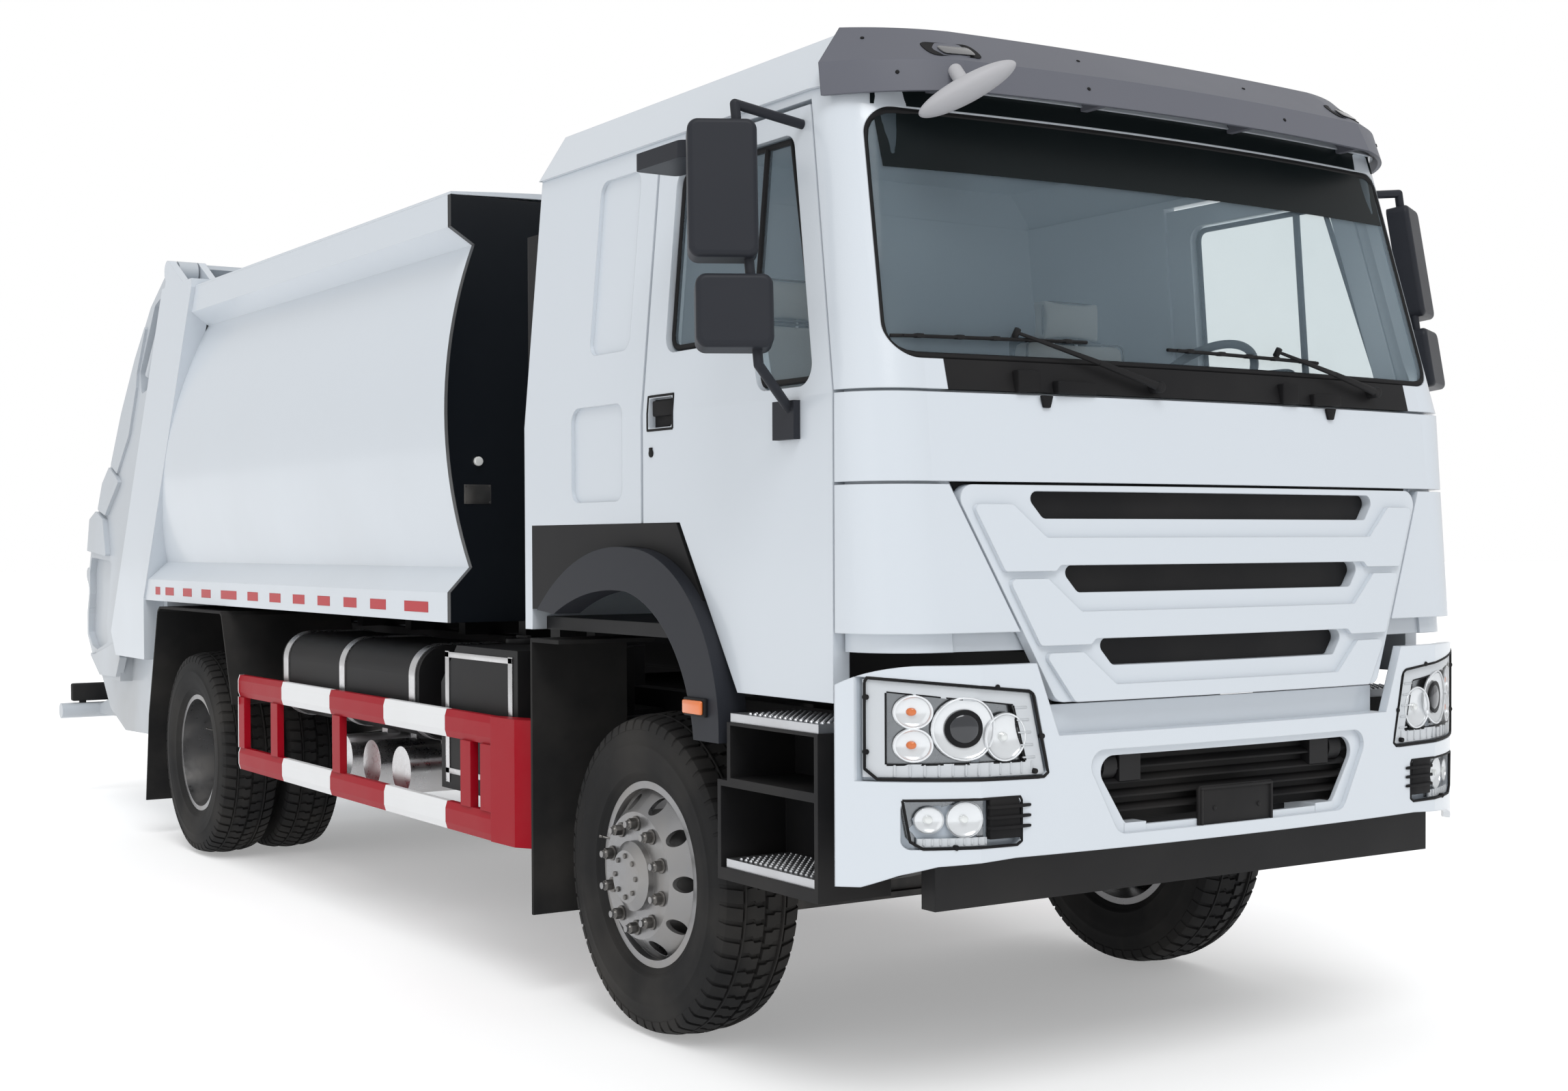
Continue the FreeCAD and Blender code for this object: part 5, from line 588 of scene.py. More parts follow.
class TRUCK_OT_finishes(bpy.types.Operator):
    """Mixes the finishes and gives each solid of the frame its own"""

    bl_idname = "truck.finishes"
    bl_label = "Finish the solids"

    def execute(self, context):
        mix_finishes()
        for coat, nodes in node_finishes.items():
            for node in nodes:
                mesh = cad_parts[node].data
                mesh.materials.clear()
                mesh.materials.append(coats[coat].material)
        return {"FINISHED"}


sky_light = 0.70
floor_glow = 0.30


class TRUCK_OT_stage(bpy.types.Operator):
    """Sets the pale floor, the soft lights and the camera"""

    bl_idname = "truck.stage"
    bl_label = "Set the stage"

    def light(self, context):
        """A white sky, dimmer to what it lights than to the eye, and two wide suns."""
        world = bpy.data.worlds.new("pale_world")
        context.scene.world = world
        world.use_nodes = True
        tree = world.node_tree
        ray, seen_share, strength = (tree.nodes.new(kind) for kind in (
            "ShaderNodeLightPath", "ShaderNodeMath", "ShaderNodeMapRange"))
        sky = tree.nodes["Background"]
        seen_share.operation = "MAXIMUM"
        strength.inputs["To Min"].default_value = sky_light
        sky.inputs["Color"].default_value = (1, 1, 1, 1)
        for source, target in ((ray.outputs["Is Camera Ray"], seen_share.inputs[0]),
                               (ray.outputs["Is Transmission Ray"], seen_share.inputs[1]),
                               (seen_share.outputs[0], strength.inputs["Value"]),
                               (strength.outputs[0], sky.inputs["Strength"])):
            tree.links.new(source, target)
        for name, way, power, spread in (("key_lamp", (0.25, 0.62, -0.85), 1.25, 30),
                                         ("side_lamp", (0.95, 0.1, -0.35), 0.30, 60)):
            deselect()
            bpy.ops.object.light_add(type="SUN", location=(0, 0, 12))
            lamp = context.object
            lamp.name = name
            lamp.data.energy = power
            lamp.data.angle = math.radians(spread)
            lamp.rotation_euler = Vector(way).to_track_quat("-Z", "Y").to_euler()

    def film(self, context):
        """The camera, turned from its yaw and pitch and then rolled about its line of sight."""
        seen = context.scene.truck_view
        deselect()
        bpy.ops.object.camera_add(location=(-seen.from_right, front_y - seen.ahead, seen.height))
        camera = context.object
        camera.name = "photo_camera"
        level = Vector((math.cos(seen.yaw), -math.sin(seen.yaw), 0))
        forward = Vector((math.sin(seen.yaw) * math.cos(seen.pitch),
                          math.cos(seen.yaw) * math.cos(seen.pitch), math.sin(seen.pitch)))
        upward = level.cross(forward)
        across = level * math.cos(seen.roll) + upward * math.sin(seen.roll)
        up = upward * math.cos(seen.roll) - level * math.sin(seen.roll)
        camera.rotation_euler = Matrix((across, up, -forward)).transposed().to_euler()
        camera.data.lens = seen.lens
        camera.data.sensor_width = 36
        camera.data.shift_x = seen.shift_x
        camera.data.shift_y = seen.shift_y
        context.scene.camera = camera

    def execute(self, context):
        deselect()
        bpy.ops.mesh.primitive_grid_add(x_subdivisions=4, y_subdivisions=4, size=240,
                                        location=(0, 0, 0))
        floor = settle("floor")
        pale = Finish("pale_floor", (0.86, 0.865, 0.87), 0.9)
        pale.shade({"Roughness": 0.85 + pale.grain(0.6) * 0.1, "Emission Color": (1.0, 1.0, 1.0, 1.0),
                    "Emission Strength": floor_glow})
        floor.data.materials.append(pale.material)
        self.light(context)
        self.film(context)
        context.scene.view_settings.view_transform = "Standard"
        return {"FINISHED"}


class TruckTyres(bpy.types.PropertyGroup):
    """Sizes of the tyres' tread and of the wheels' fittings."""

    pitches: bpy.props.IntProperty(
        name="Pitches", description="Tread blocks round a tyre", default=58, min=12, max=90)
    groove: bpy.props.FloatProperty(
        name="Groove depth", description="Depth of the tread's grooves", default=0.013,
        unit="LENGTH")
    block: bpy.props.FloatProperty(
        name="Block length", description="Length of a tread block round the tyre", default=0.040,
        unit="LENGTH")
    stud_circle: bpy.props.FloatProperty(
        name="Stud circle", description="Diameter of the circle of wheel nuts", default=0.335,
        unit="LENGTH")
    nut: bpy.props.FloatProperty(
        name="Nut width", description="Across the corners of a wheel nut", default=0.038,
        unit="LENGTH")


# Each end of an axle, with its side and the ending its twin wheels' names have
axle_ends = (("front_right", right, ""), ("front_left", left, ""), ("rear_right", right, "s"),
             ("rear_left", left, "s"))
# Half a tyre's outline and a shoulder lug's, as (sideways, outwards) from the tyre's centre
tyre_half = [
    (0.1037, 0.2905), (0.1125, 0.2990), (0.1215, 0.3120), (0.1245, 0.3180), (0.1290, 0.3215),
    (0.1330, 0.3290), (0.1325, 0.3340), (0.1385, 0.3560), (0.1428, 0.3800), (0.1448, 0.3940),
    (0.1444, 0.4120), (0.1452, 0.4150), (0.1448, 0.4200), (0.1432, 0.4230), (0.1410, 0.4420),
    (0.1382, 0.4620), (0.1340, 0.4810), (0.1268, 0.4925), (0.1080, 0.4985), (0.0750, 0.5035),
    (0.0730, 0.5150), (0.0680, 0.5150), (0.0660, 0.5050), (0.0080, 0.5085), (0.0040, 0.5050)]
lug_outline = (
    (0.0800, 0.4980), (0.0800, 0.5133), (0.0930, 0.5105), (0.1050, 0.5076), (0.1200, 0.5028),
    (0.1300, 0.4975), (0.1362, 0.4830), (0.1393, 0.4680), (0.1330, 0.4640))
# A middle block's outline, as (sideways, backwards) from the tyre's centre
block_outline = (
    (0.006, -0.020), (0.034, -0.024), (0.040, -0.017), (0.064, -0.019), (0.064, 0.019),
    (0.036, 0.024), (0.030, 0.016), (0.006, 0.019))
lug_middle, lug_slant = 0.105, 0.16
tread_radius, tread_crown = 0.5198, 3.0
twin_inset = 0.145


def turned(obj, angle, centre):
    """Turns an object's mesh about the x direction through a centre."""
    obj.data.transform(Matrix.Translation(centre) @ Matrix.Rotation(angle, 4, "X")
                       @ Matrix.Translation(-Vector(centre)))
    return obj


class TRUCK_OT_tyres(bpy.types.Operator):
    """Makes the tyres: ribbed sidewalls and a tread of shoulder lugs and zigzag blocks"""

    bl_idname = "truck.tyres"
    bl_label = "Make the tyres"

    def tyre(self, name, x, y):
        """One tyre on its wheel's centre plane."""
        size = bpy.context.scene.truck_tyres
        centre = Vector((x, y, axle_z))
        carcass = spun(name, tyre_half + [(-px, pr) for px, pr in reversed(tyre_half)], 96,
                       centre=centre)
        lug = plate("lug", [centre + Vector((px, -size.block / 2, pr)) for px, pr in lug_outline],
                    (0, size.block, 0))
        for vertex in lug.data.vertices:
            vertex.co.y += (vertex.co.x - x - lug_middle) * lug_slant
        zigzag = plate("zigzag", [centre + Vector((px, py, tread_radius - tread_crown * px * px))
                                  for px, py in block_outline], (0, 0, -size.groove))
        others = [turned(mirrored(block, plane_x=x), math.pi / size.pitches, centre)
                  for block in (lug, zigzag)]
        tread = ringed(joined("tread", [lug, zigzag] + others), size.pitches, centre)
        return joined(name, [carcass, tread])

    def execute(self, context):
        for end, _, twin in axle_ends:
            node = f"tyre{twin}_{end}"
            low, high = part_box(node)
            places = ([low.x + twin_inset, high.x - twin_inset] if twin
                      else [(low.x + high.x) / 2])
            made = [self.tyre(f"tread_{i}", x, (low.y + high.y) / 2)
                    for i, x in enumerate(places)]
            fitted(f"treaded_{node}", made, f"{end}_wheel{twin}", "rubber", 28, (node,))
        return {"FINISHED"}


# Distances from the truck's middle to the disc's face under the nuts and the rim at the valve
front_faces, rear_faces = (1.173, 1.120), (0.911, 1.000)
stud_count, bolt_count, bolt_ring = 10, 8, 0.066
left_wheel_turn = math.radians(11)


class TRUCK_OT_wheels(bpy.types.Operator):
    """Puts nuts with collars on the wheel studs, bolts on the front hubs and valves in the rims"""

    bl_idname = "truck.wheels"
    bl_label = "Fit the wheel nuts"

    def execute(self, context):
        size = context.scene.truck_tyres
        ring = size.stud_circle / 2
        for end, side, twin in axle_ends:
            node, body = f"wheel{twin}_{end}", f"{end}_wheel{twin}"
            low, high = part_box(node)
            axle = Vector((0, (low.y + high.y) / 2, axle_z))
            face, rim = rear_faces if twin else front_faces

            def at(out, back, up):
                return axle + Vector((side * out, back, up))

            nut = [bar(part, at(face + inner, 0, ring), at(face + outer, 0, ring), *shape)
                   for part, inner, outer, *shape in (
                       ("collar", 0.0005, 0.006, 0.0245, 20, 0.001),
                       ("nut", 0.006, 0.030, size.nut / 2, 6, 0.0015),
                       ("dome", 0.030, 0.036, 0.0150, 12, 0, 0.0125))]
            nuts = ringed(joined("nuts", nut), stud_count, axle)
            if end == "front_left":
                turned(nuts, left_wheel_turn, axle)
            fitted(f"wheel_nuts_{node}", [nuts], body, "nut")
            if not twin:
                bolts = bar("bolt", at(face + 0.040, 0, bolt_ring), at(face + 0.048, 0, bolt_ring),
                            0.009, 6, 0.001)
                fitted(f"hub_bolts_{node}", [ringed(bolts, bolt_count, axle)], body, "nut")
            fitted(f"valve_{node}", [
                tube("stem", [at(rim, 0.196, 0.085), at(rim + 0.035, 0.208, 0.091),
                              at(rim + 0.060, 0.226, 0.099)], 0.0035, 2, 0.02),
                bar("cap", at(rim + 0.056, 0.2236, 0.0979), at(rim + 0.066, 0.2294, 0.1007),
                    0.0055, 10, 0.0008)], body, "nut")
        return {"FINISHED"}


# The bumper's face is measured between these distances from its middle, at this height
bumper_flat, bumper_end, bumper_level = 0.700, 1.190, 0.930
# Depths behind the bumper's face
lamp_floor, lamp_mouth, rib_front, rib_back = 0.0245, 0.0115, 0.0058, 0.0120
bowl_depth = 0.0122
# Heights of the lamps' middles
main_z, high_z, turn_zs, fog_z = 1.088, 1.062, (1.135, 1.046), 0.846
# Outlines on the truck's right as (x, z): the lamp's lens and the window inside its frame
lamp_lens = ((-1.190, 1.224), (-0.757, 1.178), (-0.708, 0.955), (-1.190, 0.962))
lamp_window = ((-1.142, 1.187), (-0.812, 1.146), (-0.772, 0.996), (-1.142, 0.996))


def facing(node, start, way):
    """Where a ray from a point meets a solid, and the way the solid's face looks there."""
    hit, point, normal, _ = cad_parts[node].ray_cast(Vector(start), Vector(way))
    if not hit:
        raise RuntimeError(f"no face of {node} along {tuple(way)} from {tuple(start)}")
    return point, normal


def landing(node, start, way):
    """Where a ray from a point meets a solid."""
    return facing(node, start, way)[0]


def landing_ahead(node, x, z):
    """Where a solid's front lies at a distance from the middle and a height."""
    return landing(node, (x, nose_y, z), backwards)


def bumper_skin(x):
    """How far from the front axle the bumper's face stands, at a distance from its middle."""
    across = min(max(abs(x), bumper_flat), bumper_end)
    return landing_ahead("bumper", across * right, bumper_level).y - front_y


def wrapped(obj, cuts=0):
    """Lays a piece modelled flat at y 0 on the bumper's curved face, its deeper parts further in."""
    if cuts:
        with edit(obj):
            bpy.ops.mesh.subdivide(number_cuts=cuts)
    for vertex in obj.data.vertices:
        vertex.co.y += front_y + bumper_skin(vertex.co.x)
    return obj


def draped(obj, node):
    """Lays a piece modelled flat at y 0 on a solid's front; past its edge, as at the nearest place."""
    reached = {}
    for vertex in obj.data.vertices:
        x, z = vertex.co.x, vertex.co.z
        hit, point, _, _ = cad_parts[node].ray_cast(Vector((x, nose_y, z)), Vector(backwards))
        if hit:
            reached[x, z] = point.y
    for vertex in obj.data.vertices:
        place = (vertex.co.x, vertex.co.z)
        nearest = min(reached, key=lambda other: (math.dist(place, other), other))
        vertex.co.y += reached[nearest]
    return obj


def panel(name, y, outline, push, *edge, **corner):
    """A plate across the truck: an outline of (x, z) points at one y, pushed back by a depth."""
    return plate(name, [(x, y, z) for x, z in outline], (0, push, 0), *edge, **corner)


def oblong(x0, x1, z0, z1):
    """The corners of an upright rectangle as (x, z) points."""
    return [(x0, z0), (x1, z0), (x1, z1), (x0, z1)]


def headed(obj, centre):
    """Turns a piece spun about x to look ahead from a centre."""
    obj.data.transform(Matrix.Translation(centre) @ Matrix.Rotation(-math.pi / 2, 4, "Z"))
    return obj


def bowl(centre, radius):
    """A reflector bowl open towards the truck's front."""
    shape = [(0.0, 1.0), (0.25, 0.95), (0.55, 0.78), (0.82, 0.5), (1.0, 0.18), (1.0, 0.0),
             (1.08, 0.0), (1.08, 0.2), (0.88, 0.56), (0.58, 0.85), (0.25, 1.03), (0.0, 1.08)]
    made = spun("bowl", [(-x * bowl_depth, r * radius) for x, r in shape], 28, closed=False)
    return wrapped(headed(made, centre))


def outlined(points, radius, inset=0.001, step=0.03):
    """A thin bead round an outline of (x, z) points on the bumper's face."""
    path = []
    for i, start in enumerate(points):
        start, end = Vector(start), Vector(points[(i + 1) % len(points)])
        count = max(1, round((end - start).length / step))
        path += [start.lerp(end, j / count) for j in range(count)]
    path.append(path[0])
    return tube("bead", [(p.x, front_y + bumper_skin(p.x) + inset, p.y) for p in path], radius, 2)


def rib(low, high, edge=0.001):
    """A rib in a lamp between two (x, z) corners."""
    return wrapped(box("rib", (low[0], rib_front, low[1]), (high[0], rib_back, high[1]), edge))


def lit(x, z, *shape, depth=0.0):
    """A round piece from a lamp's floor to its reflectors' mouths."""
    return wrapped(bar("lit", (-x, lamp_floor, z), (-x, lamp_mouth + depth, z), *shape))


class TruckLamps(bpy.types.PropertyGroup):
    """Places of the lamps' inner parts."""

    main_x: bpy.props.FloatProperty(
        name="Main lamp", description="Main lamp's distance from the middle", default=0.955,
        unit="LENGTH")
    main_radius: bpy.props.FloatProperty(
        name="Main radius", description="Radius of the main reflector", default=0.080,
        unit="LENGTH")
    high_x: bpy.props.FloatProperty(
        name="High beam", description="High beam's distance from the middle", default=0.835,
        unit="LENGTH")
    turn_x: bpy.props.FloatProperty(
        name="Turn lamp", description="Turn lamp's distance from the middle", default=1.082,
        unit="LENGTH")
    plate_half: bpy.props.FloatProperty(
        name="Plate carrier half", description="Half the width of the plate carrier", default=0.152,
        unit="LENGTH")


# What a lamp's parts are joined to: the piece's name, the part, its coat and its slot
lamp_pieces = (
    ("headlamp_reflectors", "reflectors", "chrome", "lamp_glass"),
    ("headlamp_backings", "backings", "backing", "lamp_glass"),
    ("headlamp_bezels", "bezels", "dark", "black_plastic"),
    ("headlamp_frames", "frames", "frost", "lamp_glass"),
    ("headlamp_bulbs", "bulbs", "bulb", "black_plastic"),
    ("turn_bulbs", "turn_bulbs", "amber", "black_plastic"),
    ("headlamp_beads", "beads", "dark", "black_plastic"),
    ("projector_eye", "eye", "lens", "lamp_glass"))


class TRUCK_OT_lamps(bpy.types.Operator):
    """Fills the headlamps and fog lamps with reflectors, frames, ribs, bulbs and screws"""

    bl_idname = "truck.lamps"
    bl_label = "Fill the lamps"

    def headlamp(self, size, made):
        """The upper lamp: a framed window onto a projector, a high beam and two turn lamps."""
        floor = ((-1.186, 0.962), (-0.712, 0.955), (-0.752, 1.176), (-1.186, 1.222))
        made["backings"].append(wrapped(panel("panel", lamp_floor, floor, 0.002), 5))
        for i, push in enumerate(((0, 0, 0.004), (0.004, 0, 0), (0, 0, -0.004), (-0.004, 0, 0))):
            a, b = lamp_lens[i], lamp_lens[(i + 1) % 4]
            c, d = lamp_window[(i + 1) % 4], lamp_window[i]
            made["frames"].append(wrapped(panel("frame", 0.0085, (a, b, c, d), 0.006), 4))
            wall = [(x, 0.0075, z) for x, z in (d, c)] + [(x, lamp_floor, z) for x, z in (c, d)]
            made["bezels"].append(wrapped(plate("wall", wall, push), 3))
        for i in range(12):
            x = -1.125 + i * 0.034
            made["frames"].append(rib((x - 0.0022, 0.962), (x + 0.0022, 0.994)))
        for i in range(5):
            z = 1.004 + i * 0.034
            x = -0.756 - (z - 0.996) * 0.20
            made["frames"].append(rib((x - 0.022, z - 0.0022), (x + 0.018, z + 0.0022)))
        for x, z, radius in ((size.main_x, main_z, size.main_radius), (size.high_x, high_z, 0.060),
                             (size.turn_x, turn_zs[0], 0.040), (size.turn_x, turn_zs[1], 0.040)):
            centre = (-x, lamp_mouth, z)
            made["reflectors"].append(bowl(centre, radius))
            ring = spun("ring", [(0.0, radius), (0.005, radius + 0.001), (0.005, radius + 0.005),
                                 (0.0, radius + 0.007)], 32)
            made["reflectors"].append(wrapped(headed(ring, centre)))
        made["bezels"].append(lit(size.main_x, main_z, 0.045, 28, 0.002, 0.052, depth=0.002))
        made["bulbs"].append(lit(size.high_x, high_z, 0.014, 14, 0.003, 0.010))
        made["turn_bulbs"].extend(lit(size.turn_x, z, 0.012, 14, 0.004, 0.009) for z in turn_zs)
        deselect()
        bpy.ops.mesh.primitive_uv_sphere_add(segments=28, ring_count=14, radius=0.040,
                                             location=(0, 0, 0))
        eye = settle("eye")
        eye.data.transform(Matrix.Translation((-size.main_x, lamp_mouth + 0.006, main_z))
                           @ Matrix.Diagonal((1, 0.24, 1, 1)))
        made["eye"].append(wrapped(eye))

    def fog_lamp(self, made):
        """The lower lamp: two bowls over ribs, with a finned cover beside them."""
        floor = ((-1.108, 0.896), (-0.896, 0.896), (-0.896, 0.774), (-1.072, 0.774), (-1.094, 0.800))
        made["backings"].append(wrapped(panel("panel", lamp_floor, floor, 0.002), 4))
        for x, radius in ((1.046, 0.034), (0.956, 0.046)):
            made["reflectors"].append(bowl((-x, lamp_mouth, fog_z), radius))
            made["bulbs"].append(lit(x, fog_z, 0.010, 12, 0.002))
        for i in range(9):
            x = -1.060 + i * 0.020
            made["frames"].append(rib((x - 0.002, 0.778), (x + 0.002, 0.796), 0.0008))
        shelf = box("shelf", (-1.075, 0.0090, 0.774), (-0.896, 0.0140, 0.797))
        made["frames"].append(wrapped(shelf, 3))
        cover = ((-0.893, 0.902), (-0.800, 0.902), (-0.790, 0.790), (-0.893, 0.790))
        made["bezels"].append(wrapped(panel("cover", -0.002, cover, 0.020, 0.003), 2))
        fin = ((-0.895, -0.010), (-0.900, 0.004), (-0.785, 0.004), (-0.760, -0.003), (-0.790, -0.010))
        for z in (0.816, 0.844, 0.872):
            blade = plate("fin", [(x, y, z) for x, y in fin], (0, 0, 0.009), 0.002)
            made["bezels"].append(wrapped(blade, 1))

    def beads(self):
        """Beads round both lamps and the screws beside them."""
        made = [
            outlined([(-1.192, 1.216), (-1.186, 1.228), (-0.765, 1.184), (-0.752, 1.176),
                      (-0.702, 0.960), (-0.716, 0.949), (-1.165, 0.957), (-1.192, 0.985)], 0.0042),
            outlined([(-1.112, 0.900), (-0.795, 0.900), (-0.790, 0.890), (-0.790, 0.780),
                      (-0.805, 0.770), (-1.065, 0.770), (-1.095, 0.790)], 0.0040)]
        for x, z in ((-1.188, 1.176), (-1.188, 1.030), (-0.868, 1.198), (-0.722, 1.060),
                     (-0.745, 0.966), (-0.985, 0.772)):
            y = front_y + bumper_skin(x)
            made.append(bar("screw", (x, y + 0.010, z), (x, y - 0.004, z), 0.0075, 12, 0.0015))
        return made

    def execute(self, context):
        made = {part: [] for _, part, _, _ in lamp_pieces}
        self.headlamp(context.scene.truck_lamps, made)
        self.fog_lamp(made)
        made["beads"] = self.beads()
        for name, part, coat, slot in lamp_pieces:
            whole = joined(f"{name}_right", made[part])
            other = mirrored(whole)
            fitted(f"{name}_right", [whole], "chassis", coat)
            fitted(f"{name}_left", [other], "chassis", coat)
        return {"FINISHED"}


class TRUCK_OT_bumper_fittings(bpy.types.Operator):
    """Adds the blank plate carrier and the intake's slats"""

    bl_idname = "truck.bumper_fittings"
    bl_label = "Fit the bumper"

    def execute(self, context):
        half = context.scene.truck_lamps.plate_half
        y = front_y - 1.471
        carrier = [panel("carrier", y + 0.006, oblong(-half, half, 0.752, 0.886), 0.012, 0.003,
                         corner=0.012)]
        outer, inner = half - 0.006, half - 0.016
        for x0, x1, z0, z1 in ((-outer, outer, 0.756, 0.764), (-outer, outer, 0.874, 0.882),
                               (-outer, -inner, 0.764, 0.874), (inner, outer, 0.764, 0.874)):
            carrier.append(box("rim", (x0, y + 0.001, z0), (x1, y + 0.008, z1), 0.002))
        for x in (-0.09, 0.09):
            carrier.append(bar("screw", (x, y + 0.008, 0.819), (x, y + 0.002, 0.819), 0.007, 12,
                               0.0015))
            carrier.append(box("stay", (x - 0.015, y + 0.016, 0.770), (x + 0.015, y + 0.034, 0.868),
                               0.003))
        fitted("plate_carrier", carrier, "chassis", "trim")
        slats = [box("back", (-0.520, front_y - 1.395, 0.800), (0.520, front_y - 1.390, 0.985))]
        for z in (0.828, 0.868, 0.908, 0.948):
            outline = ((-1.425, z), (-1.392, z + 0.016), (-1.392, z + 0.022), (-1.425, z + 0.006))
            slats.append(plate("slat", [(-0.515, front_y + back, up) for back, up in outline],
                               (1.03, 0, 0), 0.001))
        fitted("intake_slats", slats, "chassis", "dark")
        return {"FINISHED"}


def rounded_outline(corners, radius, steps=5):
    """Points round a polygon whose corners are arcs."""
    corners = [Vector(corner) for corner in corners]
    path = []
    for i, corner in enumerate(corners):
        before, after = corners[i - 1], corners[(i + 1) % len(corners)]
        start = corner + (before - corner).normalized() * radius
        end = corner + (after - corner).normalized() * radius
        for j in range(steps + 1):
            t = j / steps
            path.append(start * (1 - t) ** 2 + corner * (2 * t * (1 - t)) + end * t ** 2)
    return path


def traced(name, node, points, way, radius, lift=0.0, rings=2, closed=True, step=0.05):
    """A bead that follows points along a solid's face, lifted off it or sunk in it."""
    way = Vector(way)
    points = [Vector(point) for point in points]
    ends = points[1:] + points[:1] if closed else points[1:]
    path = []
    for first, last in zip(points, ends):
        count = max(1, round((last - first).length / step))
        path += [first.lerp(last, i / count) for i in range(count)]
    path.append(points[0] if closed else points[-1])
    found = []
    for point in path:
        start = point - way * (point.dot(way) + far)
        hit, place, _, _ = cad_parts[node].ray_cast(start, way)
        if hit:
            found.append(place - way * lift)
    if len(found) < 2:
        raise RuntimeError(f"{name} meets no face of {node}")
    return tube(name, found, radius, rings)


class TruckCab(bpy.types.PropertyGroup):
    """Sizes of the cab's fittings."""

    seal: bpy.props.FloatProperty(
        name="Seal", description="Radius of the windscreen's rubber seal", default=0.011,
        unit="LENGTH")
    # The band's dark is partly a real sun band and partly the visor's painted shadow.
    band: bpy.props.FloatProperty(
        name="Shade band", description="Height of the dark band at the windscreen's top",
        default=0.165, unit="LENGTH")
    blade: bpy.props.FloatProperty(
        name="Blade", description="Radius of a wiper blade's rubber", default=0.0055, unit="LENGTH")
    marker_x: bpy.props.FloatProperty(
        name="Marker lamps", description="Marker lamps' distance from the middle", default=0.80,
        unit="LENGTH")


